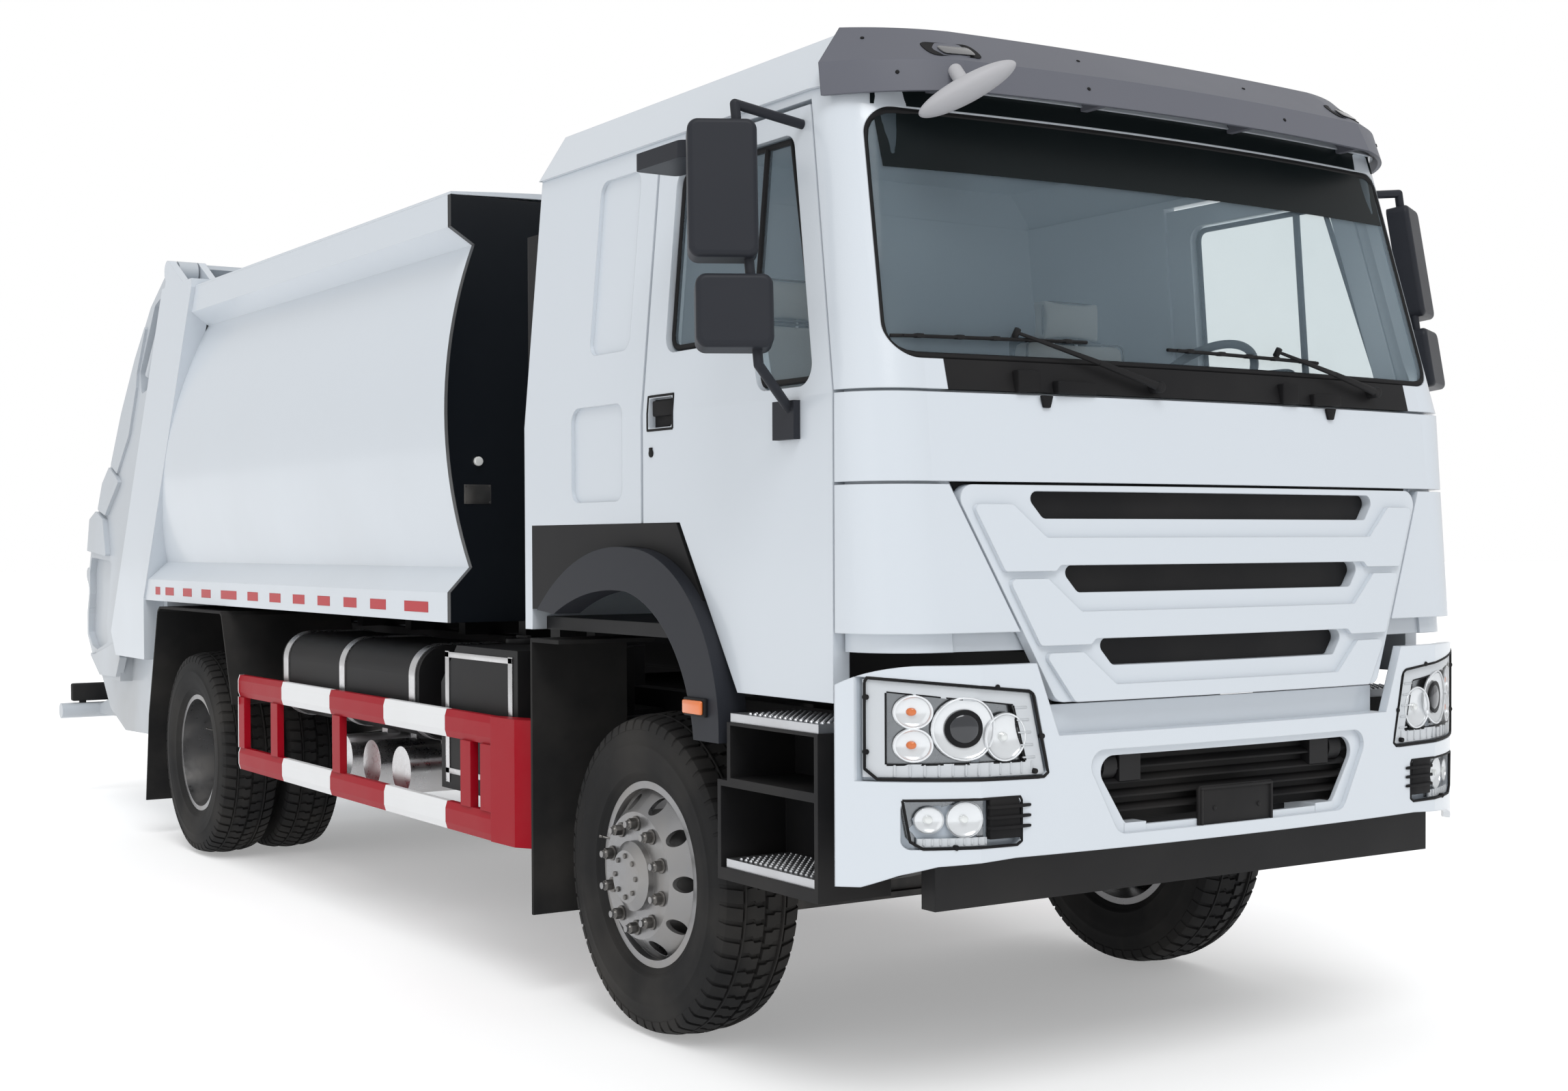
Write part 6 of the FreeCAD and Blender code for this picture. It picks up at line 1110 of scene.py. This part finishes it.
class TRUCK_OT_cab_front(bpy.types.Operator):
    """Adds the windscreen's seal, its dark sun band with the visor's shadow painted on it, a dark
    sheet above it as the visor's painted shadow, the wipers, the cowl's boxes and the lamps
    """

    bl_idname = "truck.cab_front"
    bl_label = "Fit the cab's front"

    def screen(self, size):
        """The windscreen's seal, the dark band behind its top, a sun band darkened by the visor's
        painted shadow, and a dark sheet over it that is only the visor's painted shadow.
        """
        outline = rounded_outline([(-1.101, 0, 2.093), (1.101, 0, 2.093), (1.043, 0, 2.793),
                                   (-1.043, 0, 2.793)], 0.090)
        seal = traced("seal", "windscreen", outline, backwards, size.seal, -0.002)
        fitted("screen_seal", [seal], "cab", "seal")
        # The band is near-black partly as a sun band and partly as the visor's painted shadow; the
        # sheet on the cab's front above it paints only the visor's shadow.
        top, visor_shadow_outline = 2.790, ((-1.03, 2.805), (1.03, 2.805), (1.02, 2.868), (-1.02, 2.868))
        for name, node, y, outline, cuts in (
                ("sun_band_with_painted_shadow", "windscreen", -0.0050, oblong(-1.02, 1.02, top - size.band, top), 14),
                ("visor_shadow_sheet", "cab_shell", -0.0040, visor_shadow_outline, 10)):
            film = panel(name, y, outline, 0.001)
            with edit(film):
                bpy.ops.mesh.subdivide(number_cuts=cuts)
            fitted(name, [draped(film, node)], "cab", "shade", smooth=60)

    def wiper(self, size, first, last, hold, root):
        """One wiper: its rubber between two (x, z) points, its clips, and its arm down to a root."""
        a, b = Vector((first[0], 0, first[1])), Vector((last[0], 0, last[1]))
        made = [traced("rubber", "windscreen", [a, b], backwards, size.blade, 0.004, 1, False),
                traced("spring", "windscreen", [a.lerp(b, 0.04), a.lerp(b, 0.96)], backwards,
                       0.004, 0.018, 1, False)]
        for share in (0.12, 0.32, 0.5, 0.68, 0.88):
            place = a.lerp(b, share)
            point = landing_ahead("windscreen", place.x, place.z)
            made.append(box("clip", point + Vector((-0.012, -0.022, -0.006)),
                            point + Vector((0.012, -0.002, 0.006)), 0.002))
        bend = Vector(root).lerp(Vector(hold), 0.45)
        tip = landing_ahead("windscreen", *hold) + Vector((0, -0.026, 0))
        mid = landing_ahead("windscreen", *bend) + Vector((0, -0.040, 0))
        foot = landing_ahead("cab_black_trims", *root) + Vector((0, -0.030, 0))
        return made + [
            bar("arm", mid, tip, 0.0085, 8, 0.001, 0.005),
            bar("arm", foot, mid, 0.013, 8, 0.001, 0.009),
            bar("boss", foot + Vector((0, 0.034, 0)), foot + Vector((0, -0.010, 0)), 0.019, 20,
                0.003, 0.016),
            bar("saddle", tip + Vector((0, 0.012, -0.012)), tip + Vector((0, -0.004, 0.010)),
                0.010, 10, 0.001)]

    def cowl(self):
        """The boxes on the cowl under the windscreen and the hood's two catches."""
        made = []
        for low, high, top in ((-0.719, -0.640, 2.062), (-0.588, -0.446, 2.036),
                               (0.300, 0.368, 2.062), (0.440, 0.560, 2.036)):
            base = 2.000
            y = landing_ahead("cab_black_trims", (low + high) / 2, (base + top) / 2).y
            made.append(box("cowl_box", (low, y - 0.022, base), (high, y + 0.010, top), 0.006, 3))
        for x in (-0.62, 0.52):
            z = 1.975
            y = landing_ahead("hood_and_corner_panels", x, z).y
            outline = ((x - 0.022, z + 0.018), (x + 0.022, z + 0.018), (x + 0.012, z - 0.016),
                       (x - 0.012, z - 0.016))
            made.append(panel("catch", y - 0.001, outline, -0.010, 0.003))
        return made

    def execute(self, context):
        size = context.scene.truck_cab
        self.screen(size)
        wipers = []
        for places in (((-1.080, 2.146), (-0.433, 2.153), (-0.690, 2.168), (-0.223, 2.030)),
                       ((-0.131, 2.146), (0.520, 2.137), (0.318, 2.160), (0.740, 2.052))):
            wipers += self.wiper(size, *places)
        fitted("wipers", wipers, "cab", "trim")
        fitted("cowl_boxes", self.cowl(), "cab", "dark")
        recess_shades, lenses, screws = [], [], []
        for side, _ in sides:
            x = side * size.marker_x
            # Each lamp sits on a flat dark sheet laid on the visor: the dark of its recess, painted
            # shade.
            pit = rounded_outline(oblong(x - 0.078, x + 0.078, 2.940, 2.992), 0.024)
            lens = rounded_outline(oblong(x - 0.040, x + 0.056, 2.948, 2.978), 0.012)
            recess_shades.append(draped(panel("pit", -0.001, pit, -0.003), "sun_visor"))
            lenses.append(draped(panel("lens", -0.004, lens, -0.006, 0.002), "sun_visor"))
            for x, z in ((1.00, 3.005), (0.34, 2.990), (0.98, 2.885), (0.40, 2.880)):
                point, normal = facing("sun_visor", (side * x, nose_y, z), backwards)
                screws.append(bar("screw", point - normal * 0.002, point + normal * 0.0025, 0.006,
                                  10, 0.001))
        fitted("marker_lamp_recess_painted_shade", recess_shades, "cab", "dark")
        fitted("marker_lamp_lenses", lenses, "cab", "smoke")
        fitted("visor_screws", screws, "cab", "dark")
        return {"FINISHED"}


def beside(node, side, back, z):
    """How far from the middle a solid's outer side lies, at a distance behind the front axle."""
    return landing(node, (side * far, front_y + back, z), (-side, 0, 0)).x


def side_box(name, side, x, outs, backs, heights, *edge):
    """A block standing on a side at x, between two distances outwards, backwards and upwards."""
    corners = [(x + side * out, front_y + back, z) for out, back, z in zip(outs, backs, heights)]
    return box(name, *corners, *edge)


class TRUCK_OT_cab_sides(bpy.types.Operator):
    """Adds the door handles, locks, window seals and dividers"""

    bl_idname = "truck.cab_sides"
    bl_label = "Fit the cab's sides"

    def execute(self, context):
        for side, name in sides:
            way = (-side, 0, 0)
            door, glass, body = f"door_{name}", f"door_glass_{name}", f"{name}_door"

            def line(*places):
                return [(0, front_y + back, z) for back, z in places]

            skin = beside(door, side, -0.20, 1.995)
            lock = Vector((beside(door, side, -0.146, 1.870), front_y - 0.146, 1.870))
            raised = Vector((side * 0.004, 0, 0))
            handle = [
                side_box("cup", side, skin, (0, 0.004), (-0.268, -0.132), (1.952, 2.038), 0.002),
                side_box("flap", side, skin, (0.003, 0.018), (-0.262, -0.138), (1.985, 2.034),
                         0.005, 3),
                traced("rim", door, line((-0.278, 1.942), (-0.122, 1.942), (-0.122, 2.048),
                                         (-0.278, 2.048)), way, 0.0045, -0.001),
                bar("lock", lock - raised, lock + raised, 0.013, 20, 0.0015),
                side_box("slot", side, lock.x, (0, 0.005), (-0.155, -0.137), (1.862, 1.888), 0.002)]
            fitted(f"door_handle_{name}", handle, body, "dark")
            outline = line((-1.022, 2.042), (-0.715, 2.042), (-0.640, 2.192), (-0.218, 2.192),
                           (-0.218, 2.738), (-0.960, 2.738))
            seal = [traced("bead", glass, rounded_outline(outline, 0.045), way, 0.010, -0.003),
                    traced("divider", glass, line((-0.690, 2.120), (-0.690, 2.735)), way,
                           0.012, -0.002, 2, False)]
            fitted(f"window_seal_{name}", seal, body, "seal")
        return {"FINISHED"}


def cushion(name, low, high, puff, facing, pinch=0.02, cuts=9):
    """A stuffed pad: crowned on one face, its sides pulled in between the corners, its edges round."""
    low, high = Vector(low), Vector(high)
    sag, side_sag = 0.35, 0.4
    pad = box(name, low, high)
    with edit(pad):
        bpy.ops.mesh.subdivide(number_cuts=cuts)
    centre, half = (low + high) / 2, (high - low) / 2
    flat = [axis for axis in range(3) if axis != facing]
    for vertex in pad.data.vertices:
        share = [(vertex.co[axis] - centre[axis]) / half[axis] for axis in range(3)]
        a, b = (share[axis] for axis in flat)
        crown = max(0.0, (1 - a * a) * (1 - b * b)) ** 0.6
        edge = max(abs(a), abs(b)) ** 6
        if share[facing] > 0:
            vertex.co[facing] += share[facing] * (puff * crown - half[facing] * sag * edge)
        for axis, other in ((flat[0], b), (flat[1], a)):
            vertex.co[axis] -= (share[axis] * pinch * (1 - other * other)
                                * (1 - side_sag * abs(share[facing])))
    modify(pad, "SMOOTH", factor=0.5, iterations=3)
    return modify(pad, "SUBSURF", levels=1, render_levels=1)


def piping(low, high, facing):
    """Piping round the edge of a pad, where its faces are sewn."""
    flat = [axis for axis in range(3) if axis != facing]
    inset = (0.006, -0.006)
    corners = []
    for ends in ((0, 0), (1, 0), (1, 1), (0, 1)):
        point = Vector((0, 0, 0))
        point[facing] = high[facing] - 0.020 if facing == 2 else low[facing] + 0.014
        for axis, end in zip(flat, ends):
            point[axis] = (low, high)[end][axis] + inset[end]
        corners.append(point)
    path = rounded_outline(corners, 0.03, 4)
    return tube("piping", path + path[:1], 0.0035, 2)


class TruckSeats(bpy.types.PropertyGroup):
    """Sizes of the seats and the controls."""

    seat_x: bpy.props.FloatProperty(
        name="Seat offset", description="A seat's distance from the middle", default=0.620,
        unit="LENGTH")
    seat_half: bpy.props.FloatProperty(
        name="Seat half width", description="Half the width of a seat", default=0.248,
        unit="LENGTH")
    cushion_top: bpy.props.FloatProperty(
        name="Seat height", description="Height of the cushion's top over the ground",
        default=1.775, unit="LENGTH")
    puff: bpy.props.FloatProperty(
        name="Puff", description="Crown of the cushions", default=0.022, unit="LENGTH")
    wheel_radius: bpy.props.FloatProperty(
        name="Wheel radius", description="Radius of the steering wheel", default=0.2245,
        unit="LENGTH")


class TRUCK_OT_interior(bpy.types.Operator):
    """Makes the seats with their pads, the dashboard and the steering wheel"""

    bl_idname = "truck.interior"
    bl_label = "Make the interior"

    def seat(self, size, x, name):
        """A seat's base, its three pads with piping, and the posts of its headrest."""
        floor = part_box("seats_and_dashboard")[0].z
        y0, y1 = front_y - 0.478, front_y + 0.058
        top, w = size.cushion_top, size.seat_half
        fitted(f"seat_base_{name}", [
            box("tray", (x - w + 0.02, y0 + 0.03, top - 0.175),
                (x + w - 0.02, y1 - 0.06, top - 0.115), 0.015, 3),
            box("bellows", (x - w + 0.07, y0 + 0.09, floor + 0.002),
                (x + w - 0.07, y1 - 0.10, top - 0.170), 0.02, 3),
            box("shell", (x - w + 0.03, y1 - 0.050, top - 0.140),
                (x + w - 0.03, y1 - 0.022, top + 0.560), 0.012, 3)],
            "cab", "trim", replaces=("seats_and_dashboard",))
        for part, low, high, facing, fill in (
                ("cushion", (x - w, y0, top - 0.125), (x + w, y1 - 0.09, top - 0.012), 2, 0.7),
                ("back", (x - w + 0.01, y1 - 0.160, top - 0.02),
                 (x + w - 0.01, y1 - 0.052, top + 0.540), 1, 0.7),
                ("head", (x - 0.135, y1 - 0.125, top + 0.545),
                 (x + 0.135, y1 - 0.045, top + 0.690), 1, 0.8)):
            pad = cushion(part, low, high, size.puff if facing == 2 else 0.0, facing)
            if facing == 1:
                for vertex in pad.data.vertices:
                    share = min(max((vertex.co.z - low[2]) / (high[2] - low[2]), 0), 1)
                    across = (vertex.co.x - x) / w
                    if vertex.co.y < (low[1] + high[1]) / 2:
                        vertex.co.y += 0.020 * across * across - 0.014 * math.sin(math.pi * share)
            pad_name = f"seat_{part}_{name}"
            pad = fitted(pad_name, [pad], "cab", "cloth", smooth=60,
                         replaces=("seats_and_dashboard",))
            fitted(f"{pad_name}_piping", [piping(low, high, facing)], "cab", "cloth_dark")
        fitted(f"seat_posts_{name}", [
            bar("post", (x + s * 0.055, y1 - 0.085, top + 0.500),
                (x + s * 0.055, y1 - 0.085, top + 0.570), 0.006, 10) for s in (-1, 1)],
            "cab", "bright")

    def dashboard(self):
        """The dashboard across the cab, with its hood, console, switches and vents."""
        ahead, y, half = front_y - 1.043, front_y - 0.722, 1.066
        outline = ((ahead, 1.722), (y + 0.06, 1.722), (y, 1.790), (y, 1.900), (y - 0.050, 1.958),
                   (y - 0.140, 1.982), (ahead, 1.975))
        top = [
            plate("dashboard", [(-half, back, z) for back, z in outline], (2 * half, 0, 0), 0.012, 3),
            plate("hood", [(0.38, y - 0.13, 1.975), (0.38, y - 0.02, 1.930), (0.38, y, 1.975),
                           (0.38, y - 0.10, 1.984)], (0.48, 0, 0), 0.004, 2),
            box("console", (-0.24, y - 0.02, 1.740), (0.24, y + 0.001, 1.835), 0.010, 3)]
        for i in range(7):
            x = -0.20 + i * 0.058
            top.append(box("switch", (x, y - 0.002, 1.800), (x + 0.04, y + 0.0015, 1.822), 0.002))
        vents = [box("vent", (x - 0.055, y - 0.004, 1.845), (x + 0.055, y + 0.003, 1.885), 0.004)
                 for x in (-0.90, -0.42, -0.14, 0.14, 0.98)]
        fitted("dashboard_top", top, "cab", "trim",
               replaces=("seats_and_dashboard",))
        fitted("dashboard_vents", vents, "cab", "dark")

    def steering(self, radius):
        """The steering wheel with its cap and three spokes, on its column with the stalk."""
        hub = Vector((0.620, front_y - 0.700, 2.100))
        grip, lean_angle = 0.0145, math.radians(48)
        ring = [math.tau * k / 12 for k in range(12)]
        rim = spun("rim", [(grip * math.sin(a), radius - grip + grip * math.cos(a)) for a in ring],
                   56)
        cap = spun("cap", [(-0.015, 0), (-0.015, 0.060), (0.012, 0.075), (0.028, 0.060),
                           (0.032, 0)], 28, False)
        reach = radius - 0.012
        spokes = [bar("spoke", (0.006, 0, 0), (0, reach * math.sin(a), reach * math.cos(a)),
                      0.016, 10, 0, 0.010) for a in (math.radians(82), 0, math.radians(278))]
        wheel = joined("wheel", [rim, cap] + spokes)
        way = Vector((0, math.cos(lean_angle), math.sin(lean_angle)))
        lean = Matrix((way, (1, 0, 0), (0, way.z, -way.y))).transposed().to_4x4()
        wheel.data.transform(Matrix.Translation(hub) @ lean)
        column = bar("column", hub - way * 0.010, hub - way * 0.34, 0.030, 18, 0.002, 0.038)
        stalk = tube("stalk", [hub - way * 0.07, hub - way * 0.06 + Vector((0.16, 0, 0.01))],
                     0.006, 2)
        fitted("steering_wheel", [wheel, column, stalk], "cab", "trim",
               replaces=("seats_and_dashboard",))

    def execute(self, context):
        size = context.scene.truck_seats
        for side, name in sides:
            self.seat(size, side * size.seat_x, name)
        self.dashboard()
        self.steering(size.wheel_radius)
        return {"FINISHED"}


class TruckSides(bpy.types.PropertyGroup):
    """Sizes of the fittings along the truck's sides."""

    tooth: bpy.props.FloatProperty(
        name="Tooth", description="Radius of a step tread's tooth", default=0.0065, unit="LENGTH")
    tape_low: bpy.props.FloatProperty(
        name="Tape height", description="Height of the red tape's lower edge", default=1.324,
        unit="LENGTH")
    tape_high: bpy.props.FloatProperty(
        name="Tape top", description="Height of the red tape's upper edge", default=1.366,
        unit="LENGTH")
    strap: bpy.props.FloatProperty(
        name="Strap", description="Thickness of the box's bright straps", default=0.004,
        unit="LENGTH")


def rowed(obj, count, step):
    """Repeats a piece along a step."""
    return modify(obj, "ARRAY", count=count, use_relative_offset=False, use_constant_offset=True,
                  constant_offset_displace=step)


class TRUCK_OT_steps(bpy.types.Operator):
    """Studs the step treads with anti-slip teeth"""

    bl_idname = "truck.steps"
    bl_label = "Stud the steps"

    def execute(self, context):
        radius = context.scene.truck_sides.tooth
        across, along, first_row = 0.022, 0.026, -1.085
        for side, name in sides:
            parts = []
            for above, last_row in ((0.86, -0.625), (1.30, -0.675)):
                tread = landing("step_treads", (side * 1.11, front_y - 0.85, above), (0, 0, -1))
                first = Vector((side * 1.022, front_y + first_row, tread.z))
                tooth = bar("tooth", first - Vector((0, 0, 0.001)), first + Vector((0, 0, 0.0045)),
                            radius, 8, 0, radius * 0.6)
                rowed(tooth, 9, (side * across, 0, 0))
                rowed(tooth, int((last_row - first_row) / along), (0, along, 0))
                parts.append(tooth)
            fitted(f"step_teeth_{name}", parts, "chassis", "bright")
        return {"FINISHED"}


class TRUCK_OT_sides(bpy.types.Operator):
    """Adds the red tape, the side markers, the box's straps and the tank's caps"""

    bl_idname = "truck.sides"
    bl_label = "Fit the sides"

    def execute(self, context):
        size = context.scene.truck_sides
        strips = ((1.612, 1.848), (2.04, 2.208), (2.361, 2.508), (2.671, 2.820), (2.985, 3.135),
                  (3.30, 3.45), (3.615, 3.765), (3.93, 4.17), (4.335, 4.485), (4.65, 4.80),
                  (4.965, 5.115), (5.215, 5.30))
        for side, name in sides:
            tape = []
            for first, last in strips:
                x = beside("body_sides", side, (first + last) / 2, 1.345)
                tape.append(box("tape", (x - 0.001, front_y + first, size.tape_low),
                                (x + 0.0012, front_y + last, size.tape_high)))
            fitted(f"red_tape_{name}", tape, "chassis", "tape", smooth=0)
            x = beside("wheel_arches", side, -0.49, 1.10)
            housing = side_box("housing", side, x, (-0.004, 0.012), (-0.552, -0.428),
                               (1.072, 1.128), 0.006, 3)
            lens = side_box("lens", side, x, (0.010, 0.022), (-0.544, -0.436), (1.079, 1.121),
                            0.006, 3)
            fitted(f"side_marker_housing_{name}", [housing], "cab", "trim")
            fitted(f"side_marker_lens_{name}", [lens], "cab", "amber")
            x, caps = side * 0.86, []
            for back in (1.13, 1.45):
                y = front_y + back
                caps += [bar("cap", (x, y, 1.199), (x, y, 1.222), 0.070, 32, 0.005),
                         box("grip", (x - 0.010, y - 0.050, 1.220), (x + 0.010, y + 0.050, 1.234),
                             0.004)]
            fitted(f"tank_caps_{name}", caps, "chassis", "trim")
            x, outs, edge = side * 1.125, (0, size.strap), 0.0015
            bands = [side_box("hoop", side, x, outs, (back, back + 0.035), (0.665, 1.175), edge)
                     for back in (1.00, 1.56)]
            bands += [side_box("rail", side, x, outs, (1.00, 1.595), (z, z + 0.022), edge)
                      for z in (0.70, 1.15)]
            fitted(f"box_frame_{name}", bands, "chassis", "tank")
        return {"FINISHED"}


class TRUCK_OT_body(bpy.types.Operator):
    """Adds the blank plate with its rivets and the lamps on the front wall"""

    bl_idname = "truck.body"
    bl_label = "Fit the load body"

    def execute(self, context):
        y = landing_ahead("body_front_wall", -1.06, 1.78).y
        blank = panel("plate", y - 0.0005, oblong(-1.132, -1.020, 1.742, 1.816), -0.0025, 0.0008)
        fitted("blank_plate", [blank], "chassis", "nut")
        rivets = [bar("rivet", (x, y - 0.0025, z), (x, y - 0.0045, z), 0.0035, 8)
                  for x in (-1.126, -1.026) for z in (1.748, 1.810)]
        fitted("blank_plate_rivets", rivets, "chassis", "nut")
        lamps = []
        for side, _ in sides:
            spot = landing_ahead("body_front_wall", side * 1.075, 1.905)
            lamps.append(bar("lamp", spot + Vector((0, 0.001, 0)), spot + Vector((0, -0.016, 0)),
                             0.018, 20, 0.004))
        fitted("front_wall_lamps", lamps, "chassis", "bulb")
        return {"FINISHED"}


class TruckTail(bpy.types.PropertyGroup):
    """Sizes of the tailgate's fittings."""

    hose: bpy.props.FloatProperty(
        name="Hose", description="Radius of the ram hoses", default=0.011, unit="LENGTH")
    lamp_x: bpy.props.FloatProperty(
        name="Tail lamps", description="Tail lamps' distance from the middle", default=0.955,
        unit="LENGTH")
    lamp_half: bpy.props.FloatProperty(
        name="Lamp half width", description="Half the width of a tail lamp", default=0.170,
        unit="LENGTH")


class TRUCK_OT_tail(bpy.types.Operator):
    """Adds the tail lamps on the guard tube and the hoses at the tailgate's rams"""

    bl_idname = "truck.tail"
    bl_label = "Fit the tail"

    def lamps(self, size, side, name):
        """A tail lamp's case on two feet, with its turn, brake and reverse lenses."""
        y, x, w = front_y + 7.420, side * size.lamp_x, size.lamp_half
        case = [box("case", (x - w, y - 0.030, 0.604), (x + w, y + 0.026, 0.716), 0.012, 3)]
        case += [box("foot", (foot - 0.020, y - 0.014, 0.575), (foot + 0.020, y + 0.014, 0.610),
                     0.003) for foot in (x - 0.10, x + 0.10)]
        fitted(f"tail_lamp_case_{name}", case, "tailgate_body", "trim")
        third = 2 * w / 3
        for i, (kind, coat) in enumerate((("turn", "amber"), ("brake", "tape"),
                                          ("reverse", "frost"))):
            start = x + side * (w - third * i)
            lens = box("lens", (start - side * 0.006, y + 0.022, 0.616),
                       (start - side * (third - 0.003), y + 0.038, 0.704), 0.006, 3)
            fitted(f"tail_lamp_{kind}_{name}", [lens], "tailgate_body", coat)

    def execute(self, context):
        size = context.scene.truck_tail
        run = ((1.116, 0.640, 2.860), (1.120, 0.720, 2.700), (1.124, 0.790, 2.585),
               (1.116, 0.865, 2.520), (1.104, 0.930, 2.505))
        for side, name in sides:
            self.lamps(size, side, name)
            hoses = [tube("hose", [(side * x, rear_y + back + shift, z) for x, back, z in run],
                          size.hose, 3, 0.05) for shift in (0.0, 0.034)]
            hoses.append(bar("fitting", (side * 1.100, rear_y + 0.925, 2.500),
                             (side * 1.122, rear_y + 0.985, 2.488), 0.015, 6, 0.002))
            fitted(f"ram_hoses_{name}", hoses, "tailgate_body", "rubber")
        return {"FINISHED"}


class TRUCK_PT_panel(bpy.types.Panel):
    """Lists the truck's sizes, colours and makers"""

    bl_label = "Garbage Truck"
    bl_idname = "TRUCK_PT_panel"
    bl_space_type = "VIEW_3D"
    bl_region_type = "UI"
    bl_category = "Truck"

    def draw(self, context):
        column = self.layout.column()
        for name in groups:
            group = getattr(context.scene, name)
            for key in type(group).__annotations__:
                column.prop(group, key)
        for maker in makers:
            column.operator(maker.bl_idname)


makers = (
    TRUCK_OT_finishes,
    TRUCK_OT_tyres,
    TRUCK_OT_wheels,
    TRUCK_OT_lamps,
    TRUCK_OT_bumper_fittings,
    TRUCK_OT_cab_front,
    TRUCK_OT_cab_sides,
    TRUCK_OT_interior,
    TRUCK_OT_steps,
    TRUCK_OT_sides,
    TRUCK_OT_body,
    TRUCK_OT_tail,
    TRUCK_OT_stage,
)
groups = {
    "truck_finishes": TruckFinishes,
    "truck_view": TruckView,
    "truck_tyres": TruckTyres,
    "truck_lamps": TruckLamps,
    "truck_cab": TruckCab,
    "truck_seats": TruckSeats,
    "truck_sides": TruckSides,
    "truck_tail": TruckTail,
}


def register():
    for group in groups.values():
        bpy.utils.register_class(group)
    for maker in makers:
        bpy.utils.register_class(maker)
    bpy.utils.register_class(TRUCK_PT_panel)
    for name, group in groups.items():
        setattr(bpy.types.Scene, name, bpy.props.PointerProperty(type=group))


def unregister():
    for name in groups:
        delattr(bpy.types.Scene, name)
    bpy.utils.unregister_class(TRUCK_PT_panel)
    for maker in reversed(makers):
        bpy.utils.unregister_class(maker)
    for group in reversed(list(groups.values())):
        bpy.utils.unregister_class(group)


def main():
    """Makes the whole dressed truck."""
    register()
    for maker in makers:
        family, name = maker.bl_idname.split(".")
        getattr(getattr(bpy.ops, family), name)()


if __name__ == "__main__":
    main()
